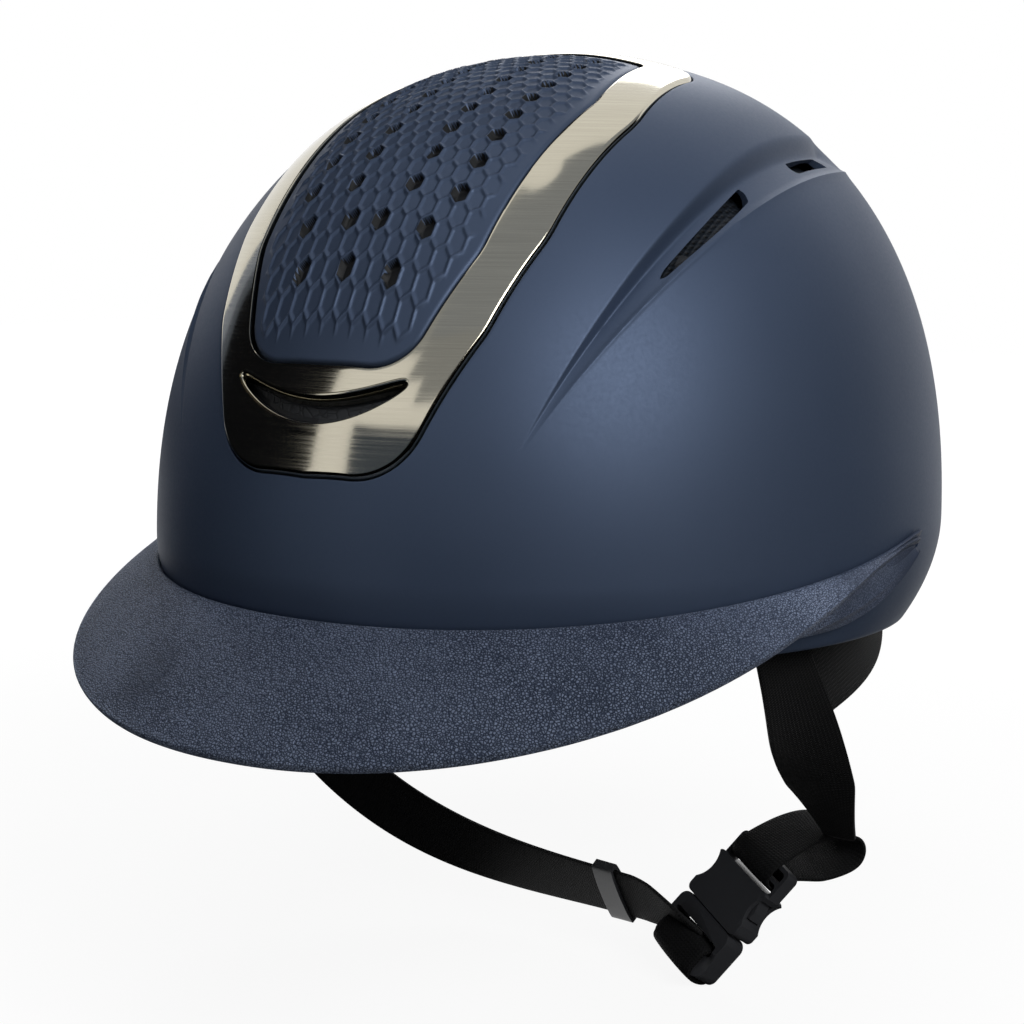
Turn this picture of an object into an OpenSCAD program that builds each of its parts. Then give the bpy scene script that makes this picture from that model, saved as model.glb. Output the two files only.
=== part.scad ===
// Riding helmet: moulded shell, wrap-round peak, vented crown, foam liner,
// size adjuster at the nape and a looped chin strap with a side-release buckle.
// The front faces -Y, the wearer's left is +X, and z = 0 is the brow line.

/* [Shell] */
// Width of the outer shell over the ears
shell_w = 216; // [208:1:226]
// Reach of the shell ahead of the head's centre
shell_front = 133; // [129:1:139]
// Reach of the shell behind the head's centre
shell_rear = 131; // [127:1:137]
// Height of the crown above the brow line
crown_h = 139; // [135:1:145]
// Wall of the moulded shell
shell_wall = 3.2; // [2.8:0.1:3.8]
// Depth of the shell's edge below the brow line at the front
rim_front = 14; // [12:0.5:16]
// Depth of the shell's edge below the brow line behind the ears
rim_rear = 30; // [27:0.5:33]
// Lift of the shell's edge over the size dial
nape_scoop = 22; // [18:0.5:24]

/* [Peak] */
// Reach of the brim at the front, out from the shell
peak_reach = 33; // [26:1:44]
// Height of the brim's lip below the brow line at the front
peak_drop = 31; // [26:1:36]
// Thickness of the brim's lip
peak_lip = 2.8; // [2:0.1:4]
// Height of the seam between peak and shell at the front
seam_front = -5.5; // [-8:0.5:-3]
// Height of the seam where the peak's tail ends
seam_tail = 6.7; // [5:0.5:9]
// Half angle that the peak wraps round
peak_wrap = 93; // [86:1:96]
// Upper edge of the peak proud of the shell
peak_edge = 1.8; // [1.2:0.1:2.6]

/* [Vented crown] */
// Trim proud of the shell
trim_proud = 0.7; // [0.3:0.1:1.2]
// Thickness of the trim ring
trim_t = 3.0; // [2.4:0.1:3.4]
// Half width of the trim ring
trim_half_w = 48; // [45:0.5:51]
// Half width of the crown panel
panel_half_w = 37; // [34:0.5:38]
// Thickness of the crown panel
panel_t = 2.2; // [1.6:0.1:2.6]
// Pitch of the honeycomb across
cell_x = 4.45; // [4.2:0.05:4.8]
// Pitch of the honeycomb rows, front to back
cell_y = 4.25; // [4:0.05:4.5]
// Half width of a vent hole
vent_r = 2.1; // [1.6:0.1:2.4]
// Half width of the front air slot
slot_half_w = 24; // [20:0.5:27]
// Opening of the front air slot in the middle
slot_gap = 4.2; // [3:0.1:5.5]

/* [Side vents] */
// Depth of the side flute
flute_depth = 2.0; // [1:0.1:2.2]
// Radius of the tool that forms the flute
flute_r = 10; // [8:0.5:13]
// Width of the side slots
side_slot_w = 4.2; // [3.4:0.1:5]

/* [Liner] */
// Inset of the liner's inner face from the shell's outer face
liner_inset = 22; // [19:0.5:24]
// Thickness of the comfort pads
pad_t = 6.5; // [4:0.5:7]
// Thickness of the rim binding
binding_t = 1.7; // [1.2:0.1:2.2]

/* [Size adjuster] */
// Radius of the head bands
band_r = 79; // [77:0.5:80]
// Distance of the bands' centre behind the head's centre
band_centre = 19; // [17:0.5:20]
// Thickness of the head bands
band_t = 1.8; // [1.4:0.1:2]
// Height of the head bands
band_h = 12; // [10:0.5:14]
// Height of the dial's axis
dial_z = -19; // [-21:0.5:-18]
// Radius of the dial
dial_r = 12; // [10:0.5:12.5]
// Depth of the dial's grip
dial_t = 7; // [5:0.5:9]
// Radius of the dial's shaft
shaft_r = 2.5; // [2:0.1:3]
// Length of the housing across
housing_w = 52; // [48:1:56]

/* [Straps and buckle] */
// Width of the webbing
web_w = 20; // [18:0.5:21]
// Thickness of the webbing
web_t = 1.5; // [1.2:0.1:2]
// Width of the buckle
buckle_w = 24.5; // [24:0.5:27]
// Length of the buckle's socket
socket_l = 25; // [23:0.5:28]
// Length of the plug outside the socket
plug_l = 17; // [15:0.5:19]
// Thickness of the buckle
buckle_t = 9.6; // [9:0.2:11]
// Wall of the socket
socket_wall = 1.7; // [1.4:0.1:2]

/* [Fits] */
// Gap between moulded pieces that are set in
fit_gap = 0.35; // [0.2:0.05:0.5]
// Gap between soft pieces and what they lie on
soft_gap = 0.3; // [0.2:0.05:0.5]
// Radial clearance of the dial's shaft
shaft_gap = 0.06; // [0.03:0.01:0.1]

/* [Hidden] */

shell_blue = "#3d4a61";
panel_blue = "#34425a";
peak_blue = "#3a475c";
gunmetal = "#7d7a72";
black = "#17181a";
dark = "#25272b";
foam = "#3b3d40";

// The dome's plan and profile are superellipses. Its crown leans back a little,
// and below tuck_z the wall draws in towards the head.
plan_power = 2.14;
rise_power = 2.33;
round_power = 2.17;
base_z = -2;
tuck_z = 5;
outer_tuck = 0.09;
inner_tuck = 0.02;
lean = 7.3;
around = 48;

function plan_r(t, inset) =
    let (b = shell_w / 2 - inset, a = (cos(t) > 0 ? shell_front : shell_rear) - inset)
    pow(pow(abs(sin(t)) / b, plan_power) + pow(abs(cos(t)) / a, plan_power), -1 / plan_power);
function draw_in(z, tuck) = z < tuck_z ? 1 - tuck * pow((tuck_z - z) / 30, 2) : 1;
function dome_top(inset) = crown_h - base_z - inset;
function narrowing(z, inset) =
    let (s = min(1, max(0, z - base_z) / dome_top(inset)))
    pow(max(0, 1 - pow(s, rise_power)), 1 / round_power);
function dome_r(t, z, inset, tuck = outer_tuck) =
    plan_r(t, inset) * narrowing(z, inset) * draw_in(z, tuck);
function set_back(z) = lean * pow(max(0, z - base_z) / dome_top(0), 2);
function on_dome(t, z, inset = 0, tuck = outer_tuck) =
    let (r = dome_r(t, z, inset, tuck)) [r * sin(t), set_back(z) - r * cos(t), z];
function ease(u) = let (c = min(1, max(0, u))) c * c * (3 - 2 * c);
function turned(t) = t > 180 ? t - 360 : t;
function rim_z(t) = let (a = abs(turned(t)))
    -rim_front - (rim_rear - rim_front) * (1 - cos(a)) / 2 + nape_scoop * ease((a - 148) / 24);

// One closed layer of the dome between two insets, open below
function level(t, v, low, up, inset, lift) = v < low
    ? rim_z(t) + lift + (base_z - rim_z(t) - lift) * v / low
    : base_z + dome_top(inset) * pow(sin(90 * (v - low) / up), 2 / rise_power);
function skin(inset, tuck, lift, n, low, up) = [for (v = [0:low + up - 1]) for (i = [0:n - 1])
    let (t = i * 360 / n) on_dome(t, level(t, v, low, up, inset, lift), inset, tuck)];
module layer(inset_out, inset_in, tuck_in = outer_tuck, lift = 0, n = around, low = 3, up = 8) {
    m = low + up;
    count = n * m;
    top_out = [0, set_back(crown_h - inset_out), crown_h - inset_out];
    top_in = [0, set_back(crown_h - inset_in), crown_h - inset_in];
    points = concat(skin(inset_out, outer_tuck, lift, n, low, up),
        skin(inset_in, tuck_in, lift, n, low, up), [top_out, top_in]);
    faces = [for (i = [0:n - 1]) let (j = (i + 1) % n) each concat(
        [for (v = [0:m - 2]) let (a = v * n + i, b = v * n + j) each
            [[a, a + n, b + n], [a, b + n, b],
             [count + a, count + b + n, count + a + n], [count + a, count + b, count + b + n]]],
        [[count - n + i, 2 * count, count - n + j], [2 * count - n + i, 2 * count - n + j, 2 * count + 1],
         [i, j, count + j], [i, count + j, count + i]])];
    polyhedron(points, faces, convexity = 6);
}

// The space inside the liner, closed below, for cutting what seats against it
module head_space(gap) {
    n = around;
    z = concat([-46, -32, -22, -12], [for (v = [0:8]) level(0, v + 1, 1, 8, liner_inset, 0)]);
    m = len(z);
    d = liner_inset + gap;
    faces = [for (i = [0:n - 1]) let (j = (i + 1) % n) each concat(
        [for (v = [0:m - 2]) let (a = v * n + i, b = v * n + j) each [[a, a + n, b + n], [a, b + n, b]]],
        [[i, j, m * n], [(m - 1) * n + j, (m - 1) * n + i, m * n + 1]])];
    polyhedron(concat([for (h = z) for (i = [0:n - 1])
            on_dome(i * 360 / n, min(h, crown_h - d), d, inner_tuck)],
        [[0, 0, -46], [0, set_back(crown_h - d), crown_h - d]]), faces, convexity = 4);
}

// A solid through a row of closed rings with the same number of points
function middle(ring) = [for (k = [0:2]) sum([for (p = ring) p[k]]) / len(ring)];
function sum(list, i = 0) = i < len(list) ? list[i] + sum(list, i + 1) : 0;
module loft(rings) {
    n = len(rings[0]);
    m = len(rings);
    faces = concat(
        [for (v = [0:m - 2]) for (i = [0:n - 1]) let (j = (i + 1) % n, a = v * n + i, b = v * n + j)
            each [[a, b + n, b], [a, a + n, b + n]]],
        [for (i = [0:n - 1]) [n * m, i, (i + 1) % n]],
        [for (i = [0:n - 1]) [n * m + 1, n * (m - 1) + (i + 1) % n, n * (m - 1) + i]]);
    polyhedron(concat([for (r = rings) each r], [middle(rings[0]), middle(rings[m - 1])]), faces,
        convexity = 6);
}

// Webbing along a curve of four points, turning from one width direction to another
function unit(v) = v / norm(v);
function curve(p, s) = pow(1 - s, 3) * p[0] + 3 * pow(1 - s, 2) * s * p[1]
    + 3 * (1 - s) * s * s * p[2] + pow(s, 3) * p[3];
function heading(p, s) = unit(pow(1 - s, 2) * (p[1] - p[0]) + 2 * (1 - s) * s * (p[2] - p[1])
    + s * s * (p[3] - p[2]));
function web_ring(p, s, from, to, wide, thick) =
    let (f = heading(p, s), raw = from * (1 - ease(s)) + to * ease(s), w = unit(raw - (raw * f) * f),
        q = cross(f, w), c = curve(p, s), a = w * wide / 2, b = q * thick / 2)
    [c + a + b, c - a + b, c - a - b, c + a - b];
module webbing(p, from, to, steps = 14, grow = 0, start = 0, end = 1) {
    loft([for (i = [0:steps])
        web_ring(p, start + (end - start) * i / steps, from, to, web_w + grow, web_t + grow)]);
}

// Outlines of the vented crown, drawn square to a view 45 degrees up from the front
crown_tilt = 45;
module mirrored() { children(); mirror([1, 0, 0]) children(); }
module blob(x, y, r) { translate([x, y]) circle(r, $fn = 28); }
module trim_outline() {
    w = trim_half_w;
    hull() mirrored() {
        blob(w - 31.5, -55.5, 17);
        blob(w - 35.5, -25, 30);
        blob(w - 41.5, 0, 40);
        blob(w - 50, 40, 50);
        blob(w - 17, 81, 15);
        blob(0, 76, 25);
    }
}
module panel_outline() {
    w = panel_half_w;
    hull() mirrored() {
        blob(w - 21, -36, 12);
        blob(w - 28.2, -10, 25);
        blob(w - 30.1, 40, 30);
        blob(w - 9.5, 82, 4);
        blob(0, 68, 22);
    }
}
slot_low = -60.5;
slot_lift = 8;
function slot_y(x, bend) = slot_low + bend * pow(x / slot_half_w, 2);
module slot_outline(grow = 0) {
    n = 8;
    for (i = [0:n - 1]) hull() for (k = [0, 1]) {
        x = slot_half_w * (2 * (i + k) / n - 1);
        half = slot_gap / 2 * sqrt(max(0, 1 - pow(x / slot_half_w, 2))) + 0.35;
        translate([x, slot_y(x, slot_lift) + slot_gap / 2]) circle(half + grow, $fn = 12);
    }
}
module through_crown(deep = 200) {
    rotate([crown_tilt, 0, 0]) translate([0, 0, 50]) linear_extrude(deep) children();
}
ledge_in = 4.5;
ledge_out = 5;
ledge_t = 2.4;
trim_seat = trim_t - trim_proud;

// The flute along each side and the two slots in it, as places on the dome
flute_from = 26;
flute_to = 124;
flute_z = 38;
flute_drop = 27;    // from the crown's height to the flute's highest line
flute_rise = crown_h - flute_drop - flute_z;
function flute_height(t) = flute_z + flute_rise * (1 - exp(-(t - 24) / 22));
function flute_point(t, inset) = on_dome(t, flute_height(t), inset);
slots = [[45, 68], [93, 118]];
module flute_cut() {
    n = 7;
    for (i = [0:n - 1]) hull() for (k = [0, 1]) {
        u = (i + k) / n;
        t = flute_from + (flute_to - flute_from) * u;
        deep = flute_depth * pow(sin(180 * min(1, u * 0.9 + 0.03)), 0.7);
        translate(flute_point(t, deep - flute_r)) sphere(flute_r, $fn = 12);
    }
}
module slot_bar(grow, inset_a, inset_b, which = slots) {
    for (s = which) {
        n = 3;
        for (i = [0:n - 1]) hull() for (k = [0, 1]) {
            t = s[0] + (s[1] - s[0]) * (i + k) / n;
            r = (i + k == 0 || i + k == n ? 0.35 : 0.5) * side_slot_w + grow;
            for (d = [inset_a, inset_b]) translate(flute_point(t, d)) sphere(r, $fn = 6);
        }
    }
}

module outer_shell() {
    color(shell_blue) difference() {
        union() {
            layer(0, shell_wall);
            intersection() {
                layer(shell_wall - 0.6, trim_seat + ledge_t);
                through_crown() difference() {
                    offset(ledge_out) trim_outline();
                    offset(-ledge_in) panel_outline();
                }
            }
        }
        difference() {
            through_crown() offset(fit_gap) trim_outline();
            layer(trim_seat, 60);
        }
        through_crown() offset(-ledge_in) panel_outline();
        through_crown() slot_outline(2.4);
        mirrored() {
            flute_cut();
            slot_bar(0, -4, shell_wall + 5);
        }
    }
}

// The peak is one flexible wedge-shaped moulding that wraps the lower front of the shell
seam_rise = seam_tail - seam_front;
function seam(t) = seam_front + seam_rise * (1 - cos(t));
function brim_reach(t) = peak_edge - 0.3 + (peak_reach - peak_edge) * pow(cos(min(90, abs(t))), 2);
function brim_z(t) = min(seam(t) - 0.9,
    -peak_drop + (peak_drop + seam_tail - 1.5) * pow(abs(sin(t)), 2.2));
function wrap_z(t) = -rim_front + 0.5 + (rim_front + 0.5) * pow(max(0, (abs(t) - 66) / 27), 2);
function peak_ring(t) =
    let (top = seam(t), low = min(wrap_z(t), top - 3), lip = brim_z(t),
        r_top = dome_r(t, top, 0), r_low = dome_r(t, low, 0), reach = dome_r(t, 0, 0) + brim_reach(t),
        lip_low = min(lip - 0.6, max(lip - peak_lip, min(lip - peak_lip, low + 6))),
        in = fit_gap, mid = (top + low) / 2)
    [for (p = [
        [r_top + in, top], [r_top + peak_edge, top],
        [r_top + peak_edge + (reach - r_top - peak_edge) * 0.3, top + (lip - top) * 0.24],
        [r_top + peak_edge + (reach - r_top - peak_edge) * 0.6, top + (lip - top) * 0.53],
        [r_top + peak_edge + (reach - r_top - peak_edge) * 0.85, top + (lip - top) * 0.81],
        [reach - 0.3, lip], [reach + 0.35, lip + (lip_low - lip) * 0.45], [reach - 0.5, lip_low],
        [r_low + 1.6 + (reach - r_low - 2) * 0.5, lip_low + (low - lip_low) * 0.62],
        [r_low + 1.6, low], [r_low + in, low],
        [dome_r(t, mid, 0) + in, mid]])
        [p[0] * sin(t), set_back(p[1]) - p[0] * cos(t), p[1]]];
module peak() {
    n = 36;
    color(peak_blue) loft([for (i = [0:n]) peak_ring(peak_wrap * (2 * i / n - 1))]);
}

module vent_trim() {
    color(gunmetal) intersection() {
        layer(-trim_proud, trim_seat - 0.05);
        through_crown() difference() {
            trim_outline();
            panel_outline();
            slot_outline();
        }
    }
}

// Vent holes sit in whole cells of the honeycomb, seen from straight above
first_row = -112.5;
function vent_columns(row) = row == 0 ? [0, 3, -3] : row == 1 ? [1, -1, 4, -4] : [2, -2, 5, -5];
module crown_panel() {
    color(panel_blue) difference() {
        intersection() {
            layer(-0.1, panel_t - 0.1);
            through_crown() offset(-fit_gap) panel_outline();
        }
        for (row = [0:10], c = vent_columns(row))
            translate([c * cell_x, first_row + 2 * row * cell_y, 40]) hull() {
                cylinder(h = 60, r = vent_r * 0.94, $fn = 6);
                translate([0, 0, 60]) cylinder(h = 50, r = vent_r * 1.1, $fn = 6);
            }
    }
}

// A dark grille behind the front slot, with one rib along its middle
module front_louvre() {
    color(black) intersection() {
        layer(trim_seat + 0.25, trim_seat + ledge_t - 0.1);
        through_crown() {
            difference() {
                slot_outline(2.4 - fit_gap);
                slot_outline(0.3);
            }
            for (i = [0:7]) hull() for (k = [0, 1]) {
                x = (slot_half_w + 1.2) * ((i + k) / 4 - 1);
                translate([x, slot_y(x, slot_lift) + slot_gap / 2]) circle(0.55, $fn = 6);
            }
        }
    }
}

module side_mesh(which) {
    color(black) difference() {
        intersection() {
            layer(shell_wall + 0.15, shell_wall + 1.35);
            slot_bar(2.6, 0, shell_wall + 5, [slots[which]]);
        }
        for (s = [slots[which]], i = [1:5]) let (t = s[0] + (s[1] - s[0]) * i / 6)
            hull() for (d = [0, 9]) translate(flute_point(t, d)) sphere(1.3, $fn = 4);
    }
}
module side_mesh_front_left() { side_mesh(0); }
module side_mesh_rear_left() { side_mesh(1); }
module side_mesh_front_right() { color(black) mirror([1, 0, 0]) side_mesh(0); }
module side_mesh_rear_right() { color(black) mirror([1, 0, 0]) side_mesh(1); }

// Foam liner with a pocket for the crown's ledge, air channels and strap pockets
liner_lift = 2.2;
liner_gap = 0.4;
channel_x = [0, 30, -30];
function liner_r(t, z) = dome_r(t, z, liner_inset, inner_tuck);
module air_channel(x) {
    n = 4;
    for (i = [0:n - 1]) hull() for (k = [0, 1]) {
        e = 24 + 118 * (i + k) / n;
        c = crown_h - liner_inset;
        translate([x, 4 - (shell_front - liner_inset) * cos(e) * 0.94, c * sin(e) * 0.985])
            sphere(5.5, $fn = 6);
    }
}
anchors = [[115, 98.5], [56, 104]];   // angle from the rear centre line, distance from the axis
function anchor_t(k) = [64, 131][k];
anchor_l = 26;
strap_play = 1.6;
anchor_w = 5.4;
anchor_h = 7;
function mid_wall(t) = let (z = rim_z(t), r = (dome_r(t, z, shell_wall) + liner_r(t, z)) / 2)
    [r * sin(t), -r * cos(t), z];
function anchor_turn(k) = let (d = mid_wall(anchor_t(k) + 2) - mid_wall(anchor_t(k) - 2)) atan2(d[1], d[0]);
module at_anchor(k) { translate(mid_wall(anchor_t(k))) rotate([0, 0, anchor_turn(k)]) children(); }
module anchor_pocket(k, gap) {
    at_anchor(k) translate([-anchor_l / 2 - gap, -anchor_w / 2 - gap, -4])
        cube([anchor_l + 2 * gap, anchor_w + 2 * gap, anchor_h + 4 + gap]);
}
module eps_liner() {
    color(foam) difference() {
        layer(shell_wall + liner_gap, liner_inset, inner_tuck, lift = liner_lift);
        difference() {
            through_crown() offset(ledge_out + 1.2) trim_outline();
            layer(trim_seat + ledge_t + 0.4, 70);
        }
        mirrored() difference() {
            slot_bar(4, 0, shell_wall + 5);
            layer(shell_wall + 1.7, 70);
        }
        for (x = channel_x) air_channel(x);
        for (x = [-12, 12]) hull() {
            translate([x, 25 - shell_front, 40]) sphere(4, $fn = 6);
            translate([x, -7 - shell_front, 52]) sphere(4, $fn = 6);
        }
        mirrored() for (k = [0, 1]) anchor_pocket(k, soft_gap);
    }
}

// The binding closes the liner's lower edge inside the shell's wall
module rim_binding() {
    color(dark) difference() {
        binding_ring(around);
        mirrored() for (k = [0, 1]) anchor_pocket(k, soft_gap);
    }
}
module binding_ring(n) {
    rings = [for (i = [0:n - 1]) let (t = i * 360 / n, top = rim_z(t) + liner_lift - 0.2,
        low = top - binding_t, d = shell_wall + liner_gap + 0.2, a = dome_r(t, top, d), b = liner_r(t, top))
        [for (p = [[a, top], [dome_r(t, low, d), low], [b, low], [b, top]]) [p[0] * sin(t), -p[0] * cos(t), p[1]]]];
    faces = [for (v = [0:n - 1]) for (i = [0:3]) let (a = v * 4 + i, b = v * 4 + (i + 1) % 4,
        c = ((v + 1) % n) * 4 + i, d = ((v + 1) % n) * 4 + (i + 1) % 4) each [[a, c, b], [c, d, b]]];
    polyhedron([for (r = rings) each r], faces, convexity = 6);
}

// Pads lie on the liner. Each swells in the middle and draws in at its edges.
pad_seat = 1.1;
function swell(u, v) = pow(max(0, 1 - pow(abs(2 * u - 1), 3)), 0.5)
    * pow(max(0, 1 - pow(abs(2 * v - 1), 2.6)), 0.5);
function pad_ring(t, z_low, z_high, u, tufts) =
    let (n = 9, back = liner_inset + pad_seat,
        channel = 1 - 0.32 * exp(-pow(sin(180 * tufts * u) / 0.28, 2)))
    concat(
        [for (i = [0:n]) let (v = i / n, z = z_low + (z_high - z_low) * v,
            d = back + 0.8 + (pad_t - 0.8) * swell(u, v) * channel) on_dome(t, z, d, inner_tuck)],
        [for (i = [n:-2:1]) let (v = i / n, z = z_low + (z_high - z_low) * v)
            on_dome(t, z, back, inner_tuck)],
        [on_dome(t, z_low, back, inner_tuck)]);
module pad(t_from, t_to, z_low, z_high, steps, tufts) {
    loft([for (i = [0:steps]) let (u = i / steps)
        pad_ring(t_from + (t_to - t_from) * u, z_low, z_high, u, tufts)]);
}
module brow_pad() { color(dark) pad(-60, 60, -9, 24, 26, 4); }
module side_pad() { pad(68, 112, 0, 44, 12, 2); }
module side_pad_left() { color(dark) side_pad(); }
module side_pad_right() { color(dark) mirror([1, 0, 0]) side_pad(); }
module nape_pad() { color(dark) pad(150, 210, 24, 58, 14, 3); }

// The crown pad is a four-lobed cushion under the top of the liner
crown_pad_r = 50;
module crown_pad() {
    n = 32;
    m = 6;
    back = liner_inset + soft_gap;
    top = crown_h - back - pad_seat;
    lobes = [for (i = [0:n - 1]) crown_pad_r * (1 + 0.16 * cos(4 * i * 360 / n))];
    function place(i, s, thick) = let (t = i * 360 / n, r = lobes[i] * s,
        z = base_z + dome_top(back + thick) * pow(max(0, 1 - pow(r / (0.93 * plan_r(t, back + thick)),
            round_power)), 1 / rise_power))
        [r * sin(t), set_back(z) - r * cos(t), z];
    function plump(i, s) = 0.8 + (pad_t - 0.8) * sqrt(max(0, 1 - pow(s, 3)))
        * (1 - 0.3 * exp(-pow((s - 0.45) / 0.07, 2)));
    upper = [for (v = [1:m]) for (i = [0:n - 1]) place(i, v / m, 0)];
    lower = [for (v = [1:m]) for (i = [0:n - 1]) place(i, v / m, plump(i, v / m))];
    c = n * m;
    faces = [for (i = [0:n - 1]) let (j = (i + 1) % n) each concat(
        [[2 * c, j, i], [2 * c + 1, c + i, c + j],
         [c - n + i, c - n + j, 2 * c - n + j], [c - n + i, 2 * c - n + j, 2 * c - n + i]],
        [for (v = [0:m - 2]) let (a = v * n + i, b = v * n + j) each
            [[a, b, b + n], [a, b + n, a + n], [c + a, c + b + n, c + b], [c + a, c + a + n, c + b + n]]])];
    color(dark) intersection() {
        polyhedron(concat(upper, lower,
            [[0, set_back(top), top], [0, set_back(top), top - pad_t]]), faces, convexity = 6);
        head_space(soft_gap);
    }
}

// Size adjuster: two toothed bands cross over and under the dial's pinion
pinion_teeth = 10;
pinion_r = 5;
tooth = PI * pinion_r * 2 / pinion_teeth;
rack_reach = 10;
rack_h = 4.4;
rear_y = band_centre + band_r;
guide_to = 92;
guide_from = 80;
module arc(from, to, r_in, r_out, z_low, z_high) {
    translate([0, band_centre, z_low]) rotate([0, 0, 90 - to])
        rotate_extrude(angle = to - from, $fn = 128) translate([r_in, 0]) square([r_out - r_in, z_high - z_low]);
}
module rack(side) {
    // side 1 runs above the pinion and side -1 below it
    pitch_line = dial_z + side * pinion_r;
    count = 6;
    for (i = [0:count - 1]) rotate_about_bands(((i - (count - 1) / 2) + 0.5) * tooth
        / band_r * 180 / PI)
        translate([0, band_r + band_t / 2 - 0.3, pitch_line]) rotate([90, 0, 0]) linear_extrude(band_t - 0.6)
            polygon([[-1.1, side * 2.1], [-1.02, side * 1.7], [-0.32, -side * 0.8], [0.32, -side * 0.8],
                [1.02, side * 1.7], [1.1, side * 2.1]]);
}
module rotate_about_bands(a) { translate([0, band_centre, 0]) rotate([0, 0, -a]) children(); }
strip_from = 28;
strip_to = 88;
module band(side) {
    // drawn for the wearer's left
    r_in = band_r - band_t / 2;
    r_out = band_r + band_t / 2;
    edge = dial_z + side * (pinion_r + 1.3);
    arc(strip_from, strip_to, r_in, r_out, dial_z - band_h / 2, dial_z + band_h / 2);
    // the rack's bar is a little thinner than the strip, and a shoulder joins the two
    far = edge + side * (rack_h - 1.3);
    arc(-rack_reach, strip_from + 3.4, r_in + 0.15, r_out - 0.15, min(edge, far), max(edge, far));
    arc(strip_from + 0.5, strip_from + 4, r_in + 0.3, r_out - 0.3,
        min(dial_z, far - side * 0.3), max(dial_z, far - side * 0.3));
    rack(side);
}
module band_left() { color(black) band(1); }
module band_right() { color(black) mirror([1, 0, 0]) band(-1); }

cavity_t = band_t + 0.9;
cavity_h = 2 * (pinion_r + rack_h) + 0.8;
housing_wall = 1.8;
housing_h = cavity_h + 2 * housing_wall;
housing_back = rear_y + cavity_t / 2 + housing_wall;
module rounded(x, y, r) {
    square([x - 2 * r, y], center = true);
    square([x, y - 2 * r], center = true);
    for (i = [-1, 1], j = [-1, 1]) translate([i * (x / 2 - r), j * (y / 2 - r)]) circle(r, $fn = 32);
}
module upright(y, deep) { translate([0, y + deep, dial_z]) rotate([90, 0, 0]) linear_extrude(deep) children(); }
housing_arc = 20;
module adjuster_housing() {
    color(black) difference() {
        intersection() {
            arc(-housing_arc, housing_arc, band_r - cavity_t / 2, band_r + cavity_t / 2 + housing_wall,
                dial_z - housing_h / 2, dial_z + housing_h / 2);
            upright(rear_y - 30, 40) rounded(housing_w, housing_h, 5);
        }
        arc(-housing_arc - 2, housing_arc + 2, band_r - cavity_t, band_r + cavity_t / 2,
            dial_z - cavity_h / 2, dial_z + cavity_h / 2);
        upright(rear_y, 12) circle(shaft_r + shaft_gap, $fn = 48);
    }
}
module adjuster_cover() {
    color(dark) difference() {
        intersection() {
            arc(-housing_arc, housing_arc, band_r - cavity_t / 2 - housing_wall, band_r - cavity_t / 2,
                dial_z - housing_h / 2, dial_z + housing_h / 2);
            upright(rear_y - 30, 40) rounded(housing_w, housing_h, 5);
        }
        upright(rear_y - cavity_t / 2 - housing_wall - 1, housing_wall + 2)
            circle(shaft_r * 0.8 + shaft_gap, $fn = 48);
        for (i = [-1, 1], j = [-1, 1]) rotate_about_bands(i * 14)
            translate([0, band_r - cavity_t / 2 - housing_wall + 0.9, dial_z + j * (housing_h / 2 - 3.2)])
                rotate([90, 0, 0]) cylinder(h = 4, r = 1.6, $fn = 24);
    }
}
module adjuster_dial() {
    grips = 14;
    color(black) union() {
        upright(rear_y - cavity_t / 2 - housing_wall + 0.1, housing_wall + 0.4)
            circle(shaft_r * 0.8, $fn = 48);
        upright(rear_y - band_t / 2, band_t) rotate(90) polygon([for (i = [0:pinion_teeth - 1])
            let (a = (i + 0.5) * 360 / pinion_teeth) each [for (q = [[3.7, -10.5], [4.35, -9.2],
                [5.8, -3.2], [5.8, 3.2], [4.35, 9.2], [3.7, 10.5]]) q[0] * [cos(a + q[1]), sin(a + q[1])]]]);
        upright(rear_y - cavity_t / 2 + 0.2, cavity_t / 2 + housing_wall + 4) circle(shaft_r, $fn = 48);
        difference() {
            upright(housing_back + 0.3, dial_t) circle(dial_r, $fn = 64);
            for (i = [0:grips - 1]) upright(housing_back - 1, dial_t + 3)
                rotate(i * 360 / grips) translate([dial_r + 0.9, 0]) circle(1.9, $fn = 20);
            upright(housing_back + dial_t - 0.9, 3) circle(dial_r - 4.4, $fn = 48);
        }
    }
}
hanger_w = 16;
hanger_top = 18;
module adjuster_hanger() {
    // from the top of the housing back and up to the liner
    z0 = dial_z + housing_h / 2;
    y0 = rear_y - cavity_t / 2;
    y1 = liner_r(180, hanger_top);
    color(black) difference() {
        intersection() {
            translate([-hanger_w / 2, 0, 0]) rotate([90, 0, 90]) linear_extrude(hanger_w)
                polygon([[y0 - 1, z0], [y0 + 2.4, z0], [y1 + 4, z0 + 6], [y1 + 4, hanger_top],
                    [y1 - 2.6, hanger_top], [y1 - 3.4, z0 + 9]]);
            head_space(soft_gap);
        }
        translate([0, y1 + 5, hanger_top - 6]) rotate([90, 0, 0]) cylinder(h = 16, r = 2.2, $fn = 32);
    }
}
module temple_guide() {
    // an open channel on the liner that the band's front end slides in
    z_low = dial_z - band_h / 2;
    z_high = dial_z + band_h / 2;
    r_in = band_r - band_t / 2;
    r_out = band_r + band_t / 2;
    difference() {
        intersection() {
            arc(guide_from, guide_to, r_in - 1.9, r_out + 6, z_low - 1.9, z_high + 1.9);
            head_space(soft_gap);
        }
        arc(guide_from - 3, guide_to + 3, r_in - 0.4, r_out + 0.4, z_low - 0.4, z_high + 0.4);
        arc(guide_from - 3, guide_to + 3, r_in - 4, r_out, z_low + 2.4, z_high - 2.4);
    }
}
module temple_guide_left() { color(dark) temple_guide(); }
module temple_guide_right() { color(dark) mirror([1, 0, 0]) temple_guide(); }

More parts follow.
